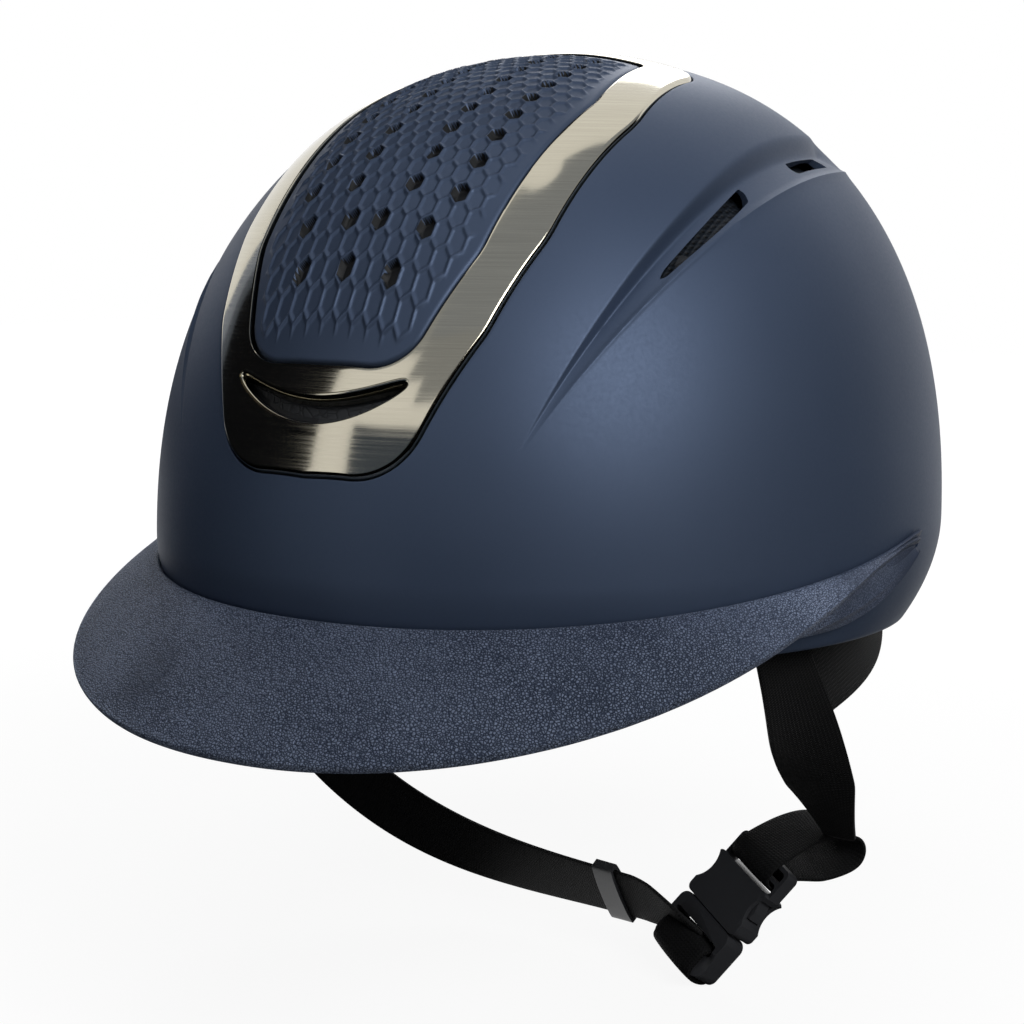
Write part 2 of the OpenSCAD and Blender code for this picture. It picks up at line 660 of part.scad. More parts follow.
// Strap anchors: blocks set in pockets in the rim, with the webbing's end in a slot
anchor_slot = 4.8;
module anchor(k) {
    at_anchor(k) difference() {
        translate([-anchor_l / 2, -anchor_w / 2, 0.3]) cube([anchor_l, anchor_w, anchor_h - 0.6]);
        translate([-web_w / 2 - strap_play, -web_t / 2 - 0.9, -1])
            cube([web_w + 2 * strap_play, web_t + 1.8, anchor_slot + 1.6]);
    }
}
module anchor_front_left() { color(black) anchor(0); }
module anchor_rear_left() { color(black) anchor(1); }
module anchor_front_right() { color(black) mirror([1, 0, 0]) anchor(0); }
module anchor_rear_right() { color(black) mirror([1, 0, 0]) anchor(1); }

// Straps. Each leaves its anchor square to the rim, and the rear one is sewn inside the front one.
strap_in = 2.8;
function anchor_out(k, z) = mid_wall(anchor_t(k)) + [0, 0, z];
function anchor_across(k) = [cos(anchor_turn(k)), sin(anchor_turn(k)), 0];
strap_low = [84.5, 19, -86.5];
function front_path() = [anchor_out(0, strap_in), anchor_out(0, -26) + [3, 4, 0], [84, -10, -68], strap_low];
module front_strap() { webbing(front_path(), anchor_across(0), [0.79, 0.11, -0.6], 18); }
module rear_strap() {
    webbing([anchor_out(1, strap_in), anchor_out(1, -22) + [1, -3, 0], [86, 36, -56], [84.6, -7, -50]],
        anchor_across(1), [0.3, 0.5, 0.81], 14);
}
module front_strap_left() { color(black) front_strap(); }
module rear_strap_left() { color(black) rear_strap(); }
module rear_strap_right() { color(black) mirror([1, 0, 0]) rear_strap(); }
module front_strap_right() {
    color(black) mirror([1, 0, 0])
        webbing([anchor_out(0, strap_in), anchor_out(0, -26) + [5, 3, 0], [102, -10, -67], [90, -6, -80]],
            anchor_across(0), [0.68, -0.1, -0.73], 14);
}

// Chin strap from the right straps' end under the chin to the plug
chin_path = [[-89.8, -6, -80.2], [-57, 3, -115], [-15, 8, -112.5], [27, 0, -114]];
chin_from = [0.68, 0.1, 0.73];
chin_to = [-0.05, -0.5, 0.85];
module chin_strap() {
    color(black) union() {
        webbing(chin_path, chin_from, chin_to, 20);
        webbing([chin_path[3] - [0.2, 0, 0], buckle_point([-16, -9, 20]), buckle_point([0, 9.3 - plug_l, 16]),
            buckle_point([0, 9.3 - plug_l, -buckle_t / 4])], chin_to,
            buckle_point([-1, 0, 0]) - buckle_at, 14);
    }
}

// The buckle is drawn along its own Y, with its face up, and then turned to hang as shown
buckle_at = [53.6, 0, -114.4];
buckle_turn = [53, 19, -30];
function spin(v, a, i, j) = [for (k = [0:2]) k == i ? v[i] * cos(a) - v[j] * sin(a)
    : k == j ? v[i] * sin(a) + v[j] * cos(a) : v[k]];
function buckle_point(v) = buckle_at
    + spin(spin(spin(v, buckle_turn[0], 1, 2), buckle_turn[1], 2, 0), buckle_turn[2], 0, 1);
module in_buckle() { translate(buckle_at) rotate(buckle_turn) children(); }
module slab(x, y0, y1, t, r) {
    translate([0, (y0 + y1) / 2, -t / 2]) linear_extrude(t) rounded(x, y1 - y0, r);
}
cavity_w = buckle_w - 2 * socket_wall;
cavity_d = buckle_t - 2 * socket_wall;
window_from = 6.5;
window_to = 13.5;
body_l = 16;
bar_r = 1.5;
module buckle_socket() {
    color(black) in_buckle() difference() {
        union() {
            slab(buckle_w, 0, body_l, buckle_t, 2);
            slab(buckle_w - 1, body_l - 4, socket_l, buckle_t * 0.55, 2);
        }
        translate([-cavity_w / 2, -1, -cavity_d / 2]) cube([cavity_w, body_l - 0.4, cavity_d]);
        for (s = [-1, 1]) {
            translate([s * (buckle_w / 2 + 6.2), (window_from + window_to) / 2, -buckle_t])
                cylinder(h = 2 * buckle_t, r = 8.4, $fn = 64);
            translate([s * buckle_w / 2 - 4, window_from, -cavity_d / 2]) cube([8, window_to - window_from, cavity_d]);
        }
        for (y = [body_l + 1.4, socket_l - 3.2]) translate([0, y + 0.2, -10]) linear_extrude(20)
            rounded(web_w + 1.2, y > 20 ? 3.2 : 3.4, 1.2);
    }
}
module buckle_plug() {
    color(black) in_buckle() difference() {
        union() {
            slab(buckle_w, -plug_l, -0.4, buckle_t * 0.92, 3);
            slab(4.6, -2, 12.5, cavity_d - 1, 1.2);
        }
        translate([0, -plug_l + 9.3, -10]) linear_extrude(20) rounded(web_w + 1.2, 4.4, 1.4);
        translate([0, -plug_l + 4.2, buckle_t * 0.46 + 8.6]) rotate([0, 90, 0])
            cylinder(h = 60, r = 10, center = true, $fn = 64);
    }
}
module prong() {
    // a springy arm with a barb that snaps into the side window
    t = cavity_d - 0.8;
    x = cavity_w / 2 - 0.5;
    translate([0, 0, -t / 2]) linear_extrude(t) polygon([[x - 3.2, -0.4], [x, -0.4], [x, window_from + 0.5],
        [x + 1.3, window_from + 0.5], [x + 1.1, window_to - 4], [x - 0.4, body_l - 2.2], [x - 2.6, body_l - 2.2],
        [x - 3.4, window_from]]);
}
module prong_left() { color(black) in_buckle() prong(); }
module prong_right() { color(black) in_buckle() mirror([1, 0, 0]) prong(); }

// A short length of webbing runs from the socket's bars round the end of the left straps
function round_trip(p, s) = let (n = len(p), i = floor(s), f = s - i,
    a = p[(i + n - 1) % n], b = p[i % n], c = p[(i + 1) % n], d = p[(i + 2) % n])
    0.5 * ((2 * b) + (c - a) * f + (2 * a - 5 * b + 4 * c - d) * f * f + (3 * b - a - 3 * c + d) * f * f * f);
loop_points = [buckle_point([0, socket_l - 3, 0]), buckle_point([0, socket_l - 1, 6]), [71, 19.5, -87.5],
    [76, 28, -88], [83, 30, -93], [82, 27, -101], [76, 19, -104.5], buckle_point([0, socket_l - 2.2, -5.5])];
loop_across = [0.3, -0.82, 0.48];
bar_across = buckle_point([1, 0, 0]) - buckle_at;
module buckle_loop() {
    n = 30;
    m = len(loop_points);
    rings = [for (i = [0:n - 1]) let (s = m * i / n, c = round_trip(loop_points, s),
        f = unit(round_trip(loop_points, s + 0.05) - round_trip(loop_points, s + m - 0.05)),
        m1 = (1 - cos(360 * i / n)) / 2,
        raw = bar_across * (1 - m1) + loop_across * m1, w = unit(raw - (raw * f) * f),
        a = w * web_w * 0.4, b = cross(f, w) * web_t / 2)
        [c + a + b, c - a + b, c - a - b, c + a - b]];
    faces = [for (v = [0:n - 1]) for (i = [0:3]) let (a = v * 4 + i, b = v * 4 + (i + 1) % 4,
        c = ((v + 1) % n) * 4 + i, d = ((v + 1) % n) * 4 + (i + 1) % 4) each [[a, d, b], [a, c, d]]];
    color(black) polyhedron([for (r = rings) each r], faces, convexity = 6);
}
module strap_keeper() {
    color(dark) difference() {
        webbing(chin_path, chin_from, chin_to, 3, 3.6, 0.9, 0.96);
        webbing(chin_path, chin_from, chin_to, 5, 1, 0.88, 0.98);
    }
}

outer_shell();
peak();
vent_trim();
crown_panel();
front_louvre();
side_mesh_front_left();
side_mesh_rear_left();
side_mesh_front_right();
side_mesh_rear_right();
eps_liner();
rim_binding();
brow_pad();
side_pad_left();
side_pad_right();
crown_pad();
nape_pad();
temple_guide_left();
temple_guide_right();
adjuster_hanger();
adjuster_housing();
adjuster_cover();
adjuster_dial();
band_left();
band_right();
anchor_front_left();
anchor_rear_left();
anchor_front_right();
anchor_rear_right();
front_strap_left();
rear_strap_left();
front_strap_right();
rear_strap_right();
buckle_loop();
chin_strap();
strap_keeper();
buckle_socket();
buckle_plug();
prong_left();
prong_right();
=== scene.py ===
import math
from functools import partial
import bpy
import numpy as np
from mathutils import Matrix, Vector


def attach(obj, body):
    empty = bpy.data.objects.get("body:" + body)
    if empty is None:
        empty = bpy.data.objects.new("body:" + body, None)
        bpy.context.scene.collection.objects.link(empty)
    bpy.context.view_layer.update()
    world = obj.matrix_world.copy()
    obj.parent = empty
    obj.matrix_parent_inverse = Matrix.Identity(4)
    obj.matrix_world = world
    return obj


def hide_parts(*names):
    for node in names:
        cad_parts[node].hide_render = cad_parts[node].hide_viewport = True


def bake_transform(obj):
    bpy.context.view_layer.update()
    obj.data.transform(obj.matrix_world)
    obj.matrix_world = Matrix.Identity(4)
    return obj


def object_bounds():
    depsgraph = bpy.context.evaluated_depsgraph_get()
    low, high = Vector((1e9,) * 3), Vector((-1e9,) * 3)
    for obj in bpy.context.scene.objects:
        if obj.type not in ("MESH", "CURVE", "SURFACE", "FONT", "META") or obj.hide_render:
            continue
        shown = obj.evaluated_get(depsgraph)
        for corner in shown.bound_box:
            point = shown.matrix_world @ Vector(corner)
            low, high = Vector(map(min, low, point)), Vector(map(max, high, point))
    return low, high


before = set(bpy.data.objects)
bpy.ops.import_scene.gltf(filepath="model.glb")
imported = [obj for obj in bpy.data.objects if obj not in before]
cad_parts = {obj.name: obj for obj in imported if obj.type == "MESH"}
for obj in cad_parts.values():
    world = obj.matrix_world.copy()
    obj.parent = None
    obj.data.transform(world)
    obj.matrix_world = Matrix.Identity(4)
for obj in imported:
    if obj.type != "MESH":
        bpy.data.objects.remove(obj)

# Shapes are worked out in millimetres, in the frame of the CAD, and stored in metres.
cadBox = [list(map(float, corner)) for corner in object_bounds()]
scene = bpy.context.scene
print("frame loaded:", len(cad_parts), "nodes")


def srgb(code):
    # sRGB hex to linear: p / 12.92 in the darks, else ((p + 0.055) / 1.055) to the power 2.4
    parts = [int(code[i:i + 2], 16) / 255 for i in (1, 3, 5)]
    return [p / 12.92 if p <= 0.04045 else ((p + 0.055) / 1.055) ** 2.4 for p in parts] + [1.0]


def addNode(tree, kind, inputs=(), stops=(), **settings):
    # one node with its settings; inputs, by name or in order, are plain values or linked from a socket or a
    # node's first output; stops are a colour ramp's (place, hex colour)
    node = tree.nodes.new("ShaderNode" + kind)
    for name, value in settings.items():
        setattr(node, name, value)
    for key, value in inputs.items() if isinstance(inputs, dict) else enumerate(inputs):
        if isinstance(value, bpy.types.Node):
            value = value.outputs[0]
        if isinstance(value, bpy.types.NodeSocket):
            tree.links.new(value, node.inputs[key])
        else:
            node.inputs[key].default_value = value
    for k, (place, colour) in enumerate(stops):
        node.color_ramp.elements[k].position = place
        node.color_ramp.elements[k].color = srgb(colour)
    return node


def newMaterial(name, look):
    # a material from a function that gives the inputs of its Principled shader, or another shader; it takes
    # addNode for the material's tree, and the object coordinates in metres
    mat = bpy.data.materials.new(name)
    mat.use_nodes = True
    mat.node_tree.nodes.clear()
    add = partial(addNode, mat.node_tree)
    shader = look(add, add("TexCoord").outputs["Object"])
    if isinstance(shader, dict):
        shader = add("BsdfPrincipled", shader)
    add("OutputMaterial", {"Surface": shader})
    return mat


def gridFaces(rows, cols, closeRows, closeCols):
    # quads of a grid stored row by row: each point with the next in its row and column
    r, c = np.meshgrid(np.arange(rows if closeRows else rows - 1),
                       np.arange(cols if closeCols else cols - 1), indexing="ij")
    r2, c2 = (r + 1) % rows, (c + 1) % cols
    return np.stack([r * cols + c, r * cols + c2, r2 * cols + c2, r2 * cols + c], -1).reshape(-1, 4)


def gridUv(u, v):
    # the four corners' (u, v) of each quad; u and v have one value more on a closed side
    uv = np.stack(np.meshgrid(u, v, indexing="ij"), -1)
    return np.stack([uv[:-1, :-1], uv[:-1, 1:], uv[1:, 1:], uv[1:, :-1]], 2).reshape(-1, 4, 2)


def makePiece(name, grid, material, closeRows=False, closeCols=True, caps=(True, True), uv=None):
    # a mesh object from a grid of points, with caps on a tube's ends; faces turn outwards by the sign of the
    # volume, the sum of a . (b x c + c x d) over the quads
    rows, cols = grid.shape[:2]
    points = np.asarray(grid, dtype=float).reshape(-1, 3)
    faces = gridFaces(rows, cols, closeRows, closeCols)
    ends = (range(cols)[::-1], range((rows - 1) * cols, rows * cols))
    ends = [list(end) for end, cap in zip(ends, caps) if cap and closeCols and not closeRows]
    a, b, c, d = (points[faces[:, k]] for k in range(4))
    if (a * (np.cross(b, c) + np.cross(c, d))).sum() < 0:
        faces, ends = faces[:, ::-1], [end[::-1] for end in ends]
        uv = None if uv is None else uv[:, ::-1]
    mesh = bpy.data.meshes.new(name)
    mesh.from_pydata((points * 0.001).tolist(), [], faces.tolist() + ends)
    mesh.polygons.foreach_set("use_smooth", np.ones(len(mesh.polygons), dtype=bool))
    if uv is not None:
        flat = np.zeros((len(mesh.loops), 2))
        flat[:uv.size // 2] = uv.reshape(-1, 2)
        mesh.uv_layers.new(name="UVMap").data.foreach_set("uv", flat.ravel())
    mesh.materials.append(material)
    piece = bpy.data.objects.new(name, mesh)
    scene.collection.objects.link(piece)
    return piece


def cutAway(piece, cutter):
    # the piece less the cutter, as an exact Boolean that is applied at once; edges over 40 degrees stay sharp
    mod = piece.modifiers.new("cut", "BOOLEAN")
    mod.operation, mod.solver, mod.object = "DIFFERENCE", "EXACT", cutter
    bpy.context.view_layer.update()
    mesh = bpy.data.meshes.new_from_object(piece.evaluated_get(bpy.context.evaluated_depsgraph_get()))
    piece.modifiers.clear()
    piece.data = mesh
    bpy.data.objects.remove(cutter)
    mesh.set_sharp_from_angle(angle=math.radians(40))


def dress(piece, body, slot, *nodes):
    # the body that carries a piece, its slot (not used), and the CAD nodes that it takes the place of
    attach(piece, body)
    if nodes:
        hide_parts(*nodes)
    return piece


def ease(u):
    # a soft step from 0 to 1: the clipped value squared, times 3 less twice the value
    c = np.clip(u, 0, 1)
    return c * c * (3 - 2 * c)


def fullTurn(n):
    # n angles evenly round a turn
    return np.linspace(0, 2 * np.pi, n, endpoint=False)


def quarter(*degrees):
    # (1 - cos, 1 - sin) of each angle: the way round a unit quarter circle
    return [(1 - math.cos(k), 1 - math.sin(k)) for k in np.radians(degrees)]


def bulge(q, least=0):
    # the height of a unit quarter circle at q: the root of 1 - (1 - q)^2, q being clipped to 0..1
    return np.sqrt(np.maximum(least, 1 - (1 - np.clip(q, 0, 1)) ** 2))


def unit(v):
    # a vector over its length
    return v / np.linalg.norm(v, axis=-1, keepdims=True)


def lengths(line):
    # the length along a line of points up to each: the sum of the steps
    return np.append(0, np.cumsum(np.linalg.norm(np.diff(line, axis=0), axis=1)))


# the helmet's dome: level outlines are superellipses that narrow upwards and lean back
dome = dict(width=216, front=133, rear=131, crown=139, wall=3.2, base=-2, lean=7.3,
            plan=2.14, rise=2.33, narrow=2.17,                      # powers of the outlines
            tuck=0.09, innerTuck=0.02, tuckBelow=5, tuckOver=30,    # how it draws in near the rim
            rimFront=14, rimRear=30, scoop=22, scoopFrom=148, scoopOver=24)     # the last two in degrees


def planR(t, inset):
    # plan radius at heading t: (|sin t / b|^plan + |cos t / a|^plan)^(-1 / plan)
    b = dome["width"] / 2 - inset
    a = np.where(np.cos(t) > 0, dome["front"], dome["rear"]) - inset
    k = dome["plan"]
    return (np.abs(np.sin(t) / b) ** k + np.abs(np.cos(t) / a) ** k) ** (-1 / k)


def domeR(t, z, inset, tuck=dome["tuck"]):
    # the plan radius times (1 - s^rise)^(1 / narrow), s being the share of the height; below tuckBelow it
    # draws in by tuck times the square of the share of tuckOver
    s = np.clip((z - dome["base"]) / (dome["crown"] - dome["base"] - inset), 0, 1)
    below = dome["tuckBelow"]
    drawIn = np.where(z < below, 1 - tuck * ((below - z) / dome["tuckOver"]) ** 2, 1)
    return planR(t, inset) * (1 - s ** dome["rise"]) ** (1 / dome["narrow"]) * drawIn


def setBack(z):
    # a level's centre lies back by lean times the square of its share of the height
    return dome["lean"] * (np.maximum(0, z - dome["base"]) / (dome["crown"] - dome["base"])) ** 2


def turned(r, t, z):
    # a point at plan radius r, heading t (0 at the front) and height z: r sin t, set back less r cos t, z
    return np.stack([r * np.sin(t), setBack(z) - r * np.cos(t), z + 0 * r], -1)


def onDome(t, z, inset=0, tuck=dome["tuck"]):
    # the dome's point at a heading and a height
    return turned(domeR(t, z, inset, tuck), t, z)


def rimZ(t):
    # the edge falls by half a cosine from the front to behind the ears and eases up over the size dial
    a = np.degrees(np.abs((t + np.pi) % (2 * np.pi) - np.pi))
    return (-dome["rimFront"] - (dome["rimRear"] - dome["rimFront"]) * (1 - np.cos(np.radians(a))) / 2
            + dome["scoop"] * ease((a - dome["scoopFrom"]) / dome["scoopOver"]))


def outside(p, inset):
    # a point's level distance from its level's centre less the dome's radius there
    x, y, z = p[..., 0], p[..., 1] - setBack(p[..., 2]), p[..., 2]
    return np.hypot(x, y) - domeR(np.arctan2(x, -y), z, inset)


def hitDome(origin, direction, inset, near=0.0, far=230.0):
    # where rays leave the dome: the interval between an inner and an outer point is halved 34 times
    shape = np.broadcast(origin, direction).shape[:-1]
    low, high = np.full(shape, near), np.full(shape, far)
    for _ in range(34):
        mid = (low + high) / 2
        out = outside(origin + direction * mid[..., None], inset) > 0
        high, low = np.where(out, mid, high), np.where(out, low, mid)
    return origin + direction * low[..., None]


def domeNormal(p, inset=0, step=0.05):
    # the gradient of outside(), from differences over a small step each way, at unit length
    return unit(np.stack([outside(p + s, inset) - outside(p - s, inset) for s in np.eye(3) * step], -1))


# The crown's outlines are drawn square to a view 45 degrees up from the front, as (across, up) in it.
half = math.sqrt(0.5)
viewUp = np.array([0, half, half])
viewOut = np.array([0, -half, half])


def hullOutline(discs, count, grow=0.0):
    # the hull of mirrored discs: in each direction n the disc with the greatest centre . n + radius gives a
    # point; they are spread evenly along the outline, which then grows along its normals
    discs = np.array(discs + [(-x, y, r) for x, y, r in discs], dtype=float)
    a = np.linspace(-np.pi / 2, 1.5 * np.pi, 4001)[:-1]
    n = np.stack([np.cos(a), np.sin(a)], -1)
    best = np.argmax(n @ discs[:, :2].T + discs[:, 2], axis=1)
    p = discs[best, :2] + n * discs[best, 2][:, None]
    loop, loopN = np.vstack([p, p[:1]]), np.vstack([n, n[:1]])
    along = lengths(loop)
    at = np.linspace(0, along[-1], count, endpoint=False)
    out, outN = (np.stack([np.interp(at, along, line[:, k]) for k in (0, 1)], -1) for line in (loop, loopN))
    outN = unit(outN)
    return out + outN * grow, outN


def inSpace(flat):
    # points of the view's plane: the first value along x, the second along the view's up
    return flat[..., 0:1] * np.array([1, 0, 0]) + flat[..., 1:2] * viewUp


def throughCrown(flat, inset):
    # points of the view's plane carried along the view onto the dome
    return hitDome(inSpace(flat), viewOut, inset, 45, 250)


# the discs (across, up, radius) whose hulls are the trim ring's outline and the panel's
trim = dict(halfWidth=48, panelHalfWidth=37, proud=0.7, seat=2.3, gap=0.35)
w = trim["halfWidth"]
trimDiscs = [(w - 36.2, -51.8, 19.2), (w - 36.5, -25, 29.5), (w - 41.8, 0, 40), (w - 48, 42, 48.3),
             (w - 20, 82, 15), (0, 77, 25), (0, -50.8, 20.8)]
w = trim["panelHalfWidth"]
panelDiscs = [(w - 24.5, -33.6, 14.5), (w - 28.2, -10, 25), (w - 29.7, 46, 30), (w - 8.5, 81, 4),
              (0, 68, 22), (0, -33.2, 15.2)]


def polarOutline(outline, centre, angle):
    # a star-shaped outline's point at each polar angle, its radius read between the outline's own points
    d = outline - centre
    a = np.unwrap(np.arctan2(d[:, 1], d[:, 0]))
    order = np.argsort(a)
    a, r = a[order], np.linalg.norm(d, axis=1)[order]
    at = np.interp(angle, np.concatenate([a - 2 * np.pi, a, a + 2 * np.pi]), np.tile(r, 3))
    return centre + np.stack([np.cos(angle), np.sin(angle)], -1) * at[:, None]


print("materials")


def mouldedPlastic(name, pale, deep, roughness, grainMm, grainStrength, pearl=0.0, specular=0.5):
    # a slow noise mixes two near tones; a fine one, of the grain's size, is the height of an orange peel and
    # moves the roughness by 0.03 either way
    def look(add, place):
        slow = add("TexNoise", {"Vector": place, "Scale": 14.0, "Detail": 2.0})
        tone = add("ValToRGB", [slow], [(0.35, deep), (0.65, pale)])
        fine = add("TexNoise", {"Vector": place, "Scale": 1000 / grainMm, "Detail": 3.0})
        rough = add("MapRange", [fine, 0.3, 0.7, roughness - 0.03, roughness + 0.03])
        bump = add("Bump", {"Height": fine, "Strength": grainStrength, "Distance": 0.0001})
        return {"Base Color": tone, "Roughness": rough, "IOR": 1.46, "Specular IOR Level": specular,
                "Metallic": pearl, "Normal": bump}
    return newMaterial(name, look)


# moulded ABS under a matt pearl lacquer: an even navy with one wide, soft, blue highlight
shellPlastic = mouldedPlastic("ABS moulded pearl lacquer navy", "#4c5a72", "#46546c", 0.52, 0.9, 0.05, 0.58)
# the same ABS under a rubbery soft-touch coat: nearly the same navy, with the coat's finer grain
panelPlastic = mouldedPlastic("ABS soft-touch navy", "#4a5870", "#455269", 0.48, 0.5, 0.08, 0.6)
# acetal, injection moulded: near black, satin, with the mould's fine spark grain
buckleAcetal = mouldedPlastic("acetal moulded black", "#36373a", "#303134", 0.36, 0.35, 0.2, 0.0, 0.6)
# nylon, moulded: the unseen fittings, a little duller
fittingNylon = mouldedPlastic("nylon moulded dark grey", "#2a2c30", "#222428", 0.45, 0.5, 0.3)
# painted shade for the bottoms of the panel's vents: the same nylon, nearly black
ventShadeNylon = mouldedPlastic("nylon vent painted shade", "#0c0d0f", "#090a0b", 0.6, 0.5, 0.2)
# vinyl edge binding, extruded: dark with a soft sheen
bindingVinyl = mouldedPlastic("vinyl binding extruded", "#26282c", "#1f2124", 0.55, 0.7, 0.3)


def leatherGrain(add, place):
    # pebbles 0.7 mm across, low and dark at their edges; tone = slow noise x distance to the edge x share of
    # the way forward, so that the tails are dark, and the relief fades there too
    forward = add("SeparateXYZ", [place]).outputs["Y"]
    pebble = add("TexVoronoi", {"Vector": place, "Scale": 1380.0}, feature="DISTANCE_TO_EDGE")
    edge = add("MapRange", [pebble, 0.0, 0.25])
    fine = add("TexNoise", {"Vector": place, "Scale": 3400.0, "Detail": 2.0})
    height = add("Math", [edge, fine], operation="ADD")
    slow = add("TexNoise", {"Vector": place, "Scale": 30.0, "Detail": 2.0})
    mixed = add("Math", [slow, edge], operation="MULTIPLY")
    front = add("MapRange", [forward, 0.0, -0.06, 0.1, 1.0])
    mixed = add("Math", [mixed, front], operation="MULTIPLY")
    tone = add("ValToRGB", [mixed], [(0.05, "#333e54"), (0.42, "#8592ac")])
    depth = add("MapRange", [forward, -0.03, -0.10, 0.08, 1.0])
    bump = add("Bump", {"Height": height, "Strength": depth, "Distance": 0.0006})
    return {"Base Color": tone, "Roughness": 0.5, "IOR": 1.48, "Metallic": 0.3, "Normal": bump}


def brushing(add, place):
    # level streaks, a noise stretched a hundred times along the level, break up the mirror and its tone;
    # they are 0.4 mm apart, coarser than real brushing, so that they show
    level = add("Mapping", {"Vector": place, "Scale": (25, 25, 2600)})
    streak = add("TexNoise", {"Vector": level, "Scale": 1.0, "Detail": 3.0, "Roughness": 0.7})
    tone = add("ValToRGB", [streak], [(0.3, "#bdb7a6"), (0.7, "#c9c3b1")])
    rough = add("MapRange", [streak, 0.35, 0.7, 0.07, 0.17])
    bump = add("Bump", {"Height": streak, "Strength": 0.05, "Distance": 0.00003})
    return {"Base Color": tone, "Metallic": 1.0, "Roughness": rough, "Normal": bump}


def weave(add, place):
    # rib = sine across, 1.1 mm apart; pick = sine along, 0.9 mm apart, shifted by the rib; height = rib x
    # pick + pick, and its tops are the paler. UV are millimetres along and across
    parts = add("SeparateXYZ", [add("UVMap")])

    def wave(value, pitch, shift=None):
        # the sine of 2 pi value / pitch, plus a shift
        angle = add("Math", [value, 2 * math.pi / pitch], operation="MULTIPLY")
        if shift:
            angle = add("Math", [angle, shift], operation="ADD")
        return add("Math", [angle], operation="SINE")
    rib = wave(parts.outputs["Y"], 1.1)
    pick = wave(parts.outputs["X"], 0.9, add("Math", [rib, 1.2], operation="MULTIPLY"))
    height = add("Math", [rib, pick], operation="MULTIPLY")
    height = add("Math", [height, pick], operation="ADD")
    share = add("MapRange", [height, -1.6, 1.6])
    tone = add("ValToRGB", [share], [(0.2, "#030304"), (0.8, "#0e0f10")])
    bump = add("Bump", {"Height": height, "Strength": 0.5, "Distance": 0.00012})
    return {"Base Color": tone, "Roughness": 0.7, "IOR": 1.45, "Sheen Weight": 0.05, "Sheen Roughness": 0.4,
            "Specular IOR Level": 0.25, "Normal": bump}


def stitches(add, place):
    # cells 0.9 mm apart, a little out of line, whose distance is the height; a slow noise for the tone
    cell = add("TexVoronoi", {"Vector": place, "Scale": 1100.0, "Randomness": 0.25})
    slow = add("TexNoise", {"Vector": place, "Scale": 60.0, "Detail": 3.0})
    tone = add("ValToRGB", [slow], [(0.3, "#202226"), (0.7, "#2a2c31")])
    bump = add("Bump", {"Height": cell, "Strength": 0.6, "Distance": 0.00025})
    return {"Base Color": tone, "Roughness": 0.85, "Sheen Weight": 0.4, "Sheen Roughness": 0.5, "Normal": bump}


def beads(add, place):
    # cells 3 mm across; the distance to a cell's edge is the tone and, over its first 0.12, the height
    bead = add("TexVoronoi", {"Vector": place, "Scale": 330.0}, feature="DISTANCE_TO_EDGE")
    tone = add("ValToRGB", [bead], [(0.0, "#232528"), (0.08, "#37393d")])
    joint = add("MapRange", [bead, 0.0, 0.12])
    bump = add("Bump", {"Height": joint, "Strength": 0.35, "Distance": 0.0003})
    return {"Base Color": tone, "Roughness": 0.6, "IOR": 1.5, "Normal": bump}


def meshes(add, place):
    # square cells 1.3 mm apart, whose distance is both the tone and the height
    cell = add("TexVoronoi", {"Vector": place, "Scale": 760.0, "Randomness": 0.0})
    tone = add("ValToRGB", [cell], [(0.25, "#040506"), (0.5, "#1b222b")])
    bump = add("Bump", {"Height": cell, "Strength": 0.8, "Distance": 0.0005})
    return {"Base Color": tone, "Roughness": 0.5, "Normal": bump}


# soft TPU, moulded with a leather grain that fades to smooth tails
peakGrain = newMaterial("TPU moulded leather grain", leatherGrain)
# electroplated black chrome, brushed: a warm grey mirror
trimChrome = newMaterial("black chrome brushed", brushing)
# woven polyester webbing: nearly black, with fine ribs
webbing = newMaterial("polyester webbing woven", weave)
# brushed polyester knit over foam: soft and dull
paddingKnit = newMaterial("polyester knit padding", stitches)
# expanded polystyrene, moulded: flattened beads with thin dark joints, slightly satin
foam = newMaterial("expanded polystyrene charcoal", beads)
# nylon gauze, moulded, behind the side slots: black, with square holes
gauzeNylon = newMaterial("nylon moulded gauze black", meshes)

print("outer shell")
shellSet = dict(columns=470, aboveRows=38, fluteRows=36, belowRows=100, innerRows=12, edgeRound=0.55,
                rimRound=1.1, fluteDepth=3.0, ridge=0.3, slots=((40.5, 60), (80.5, 104)),    # slots in degrees
                soft=(43, 74, 25, 17), crisp=(38, 69, 24.4, 21))      # the flute's upper and lower border
chartAt = np.array([0.0, 0.0, 20.0])


def fluteEdge(which, t):
    # height of a border of the flute t degrees from the front: start + rise x (1 - e^(-(t - from) / over))
    start, rise, first, over = shellSet[which]
    return start + rise * (1 - np.exp(-(t - first) / over))


def fluteDent(p):
    # depth of the side flute, v from 0 on its upper border to 1 on its lower one: it eases down over the
    # first 0.42 and comes up by the power 0.85 over the rest; a ridge (bell curve) stands at v = 1
    t = np.degrees(np.arctan2(np.abs(p[..., 0]), setBack(p[..., 2]) - p[..., 1]))
    t = np.clip(t, 20, 140)
    high, low = fluteEdge("soft", t), fluteEdge("crisp", t)
    v = (high - p[..., 2]) / np.maximum(high - low, 1)
    fade = ease((t - 23) / 15) * ease((129 - t) / 14)      # it runs out at both ends
    hollow = ease(v / 0.42) * np.clip((1 - v) / 0.58, 0, 1) ** 0.85
    ridge = np.exp(-((v - 1) * (high - low)) ** 2) * ease((t - 24) / 6)
    return fade * (shellSet["fluteDepth"] * hollow - shellSet["ridge"] * ridge)


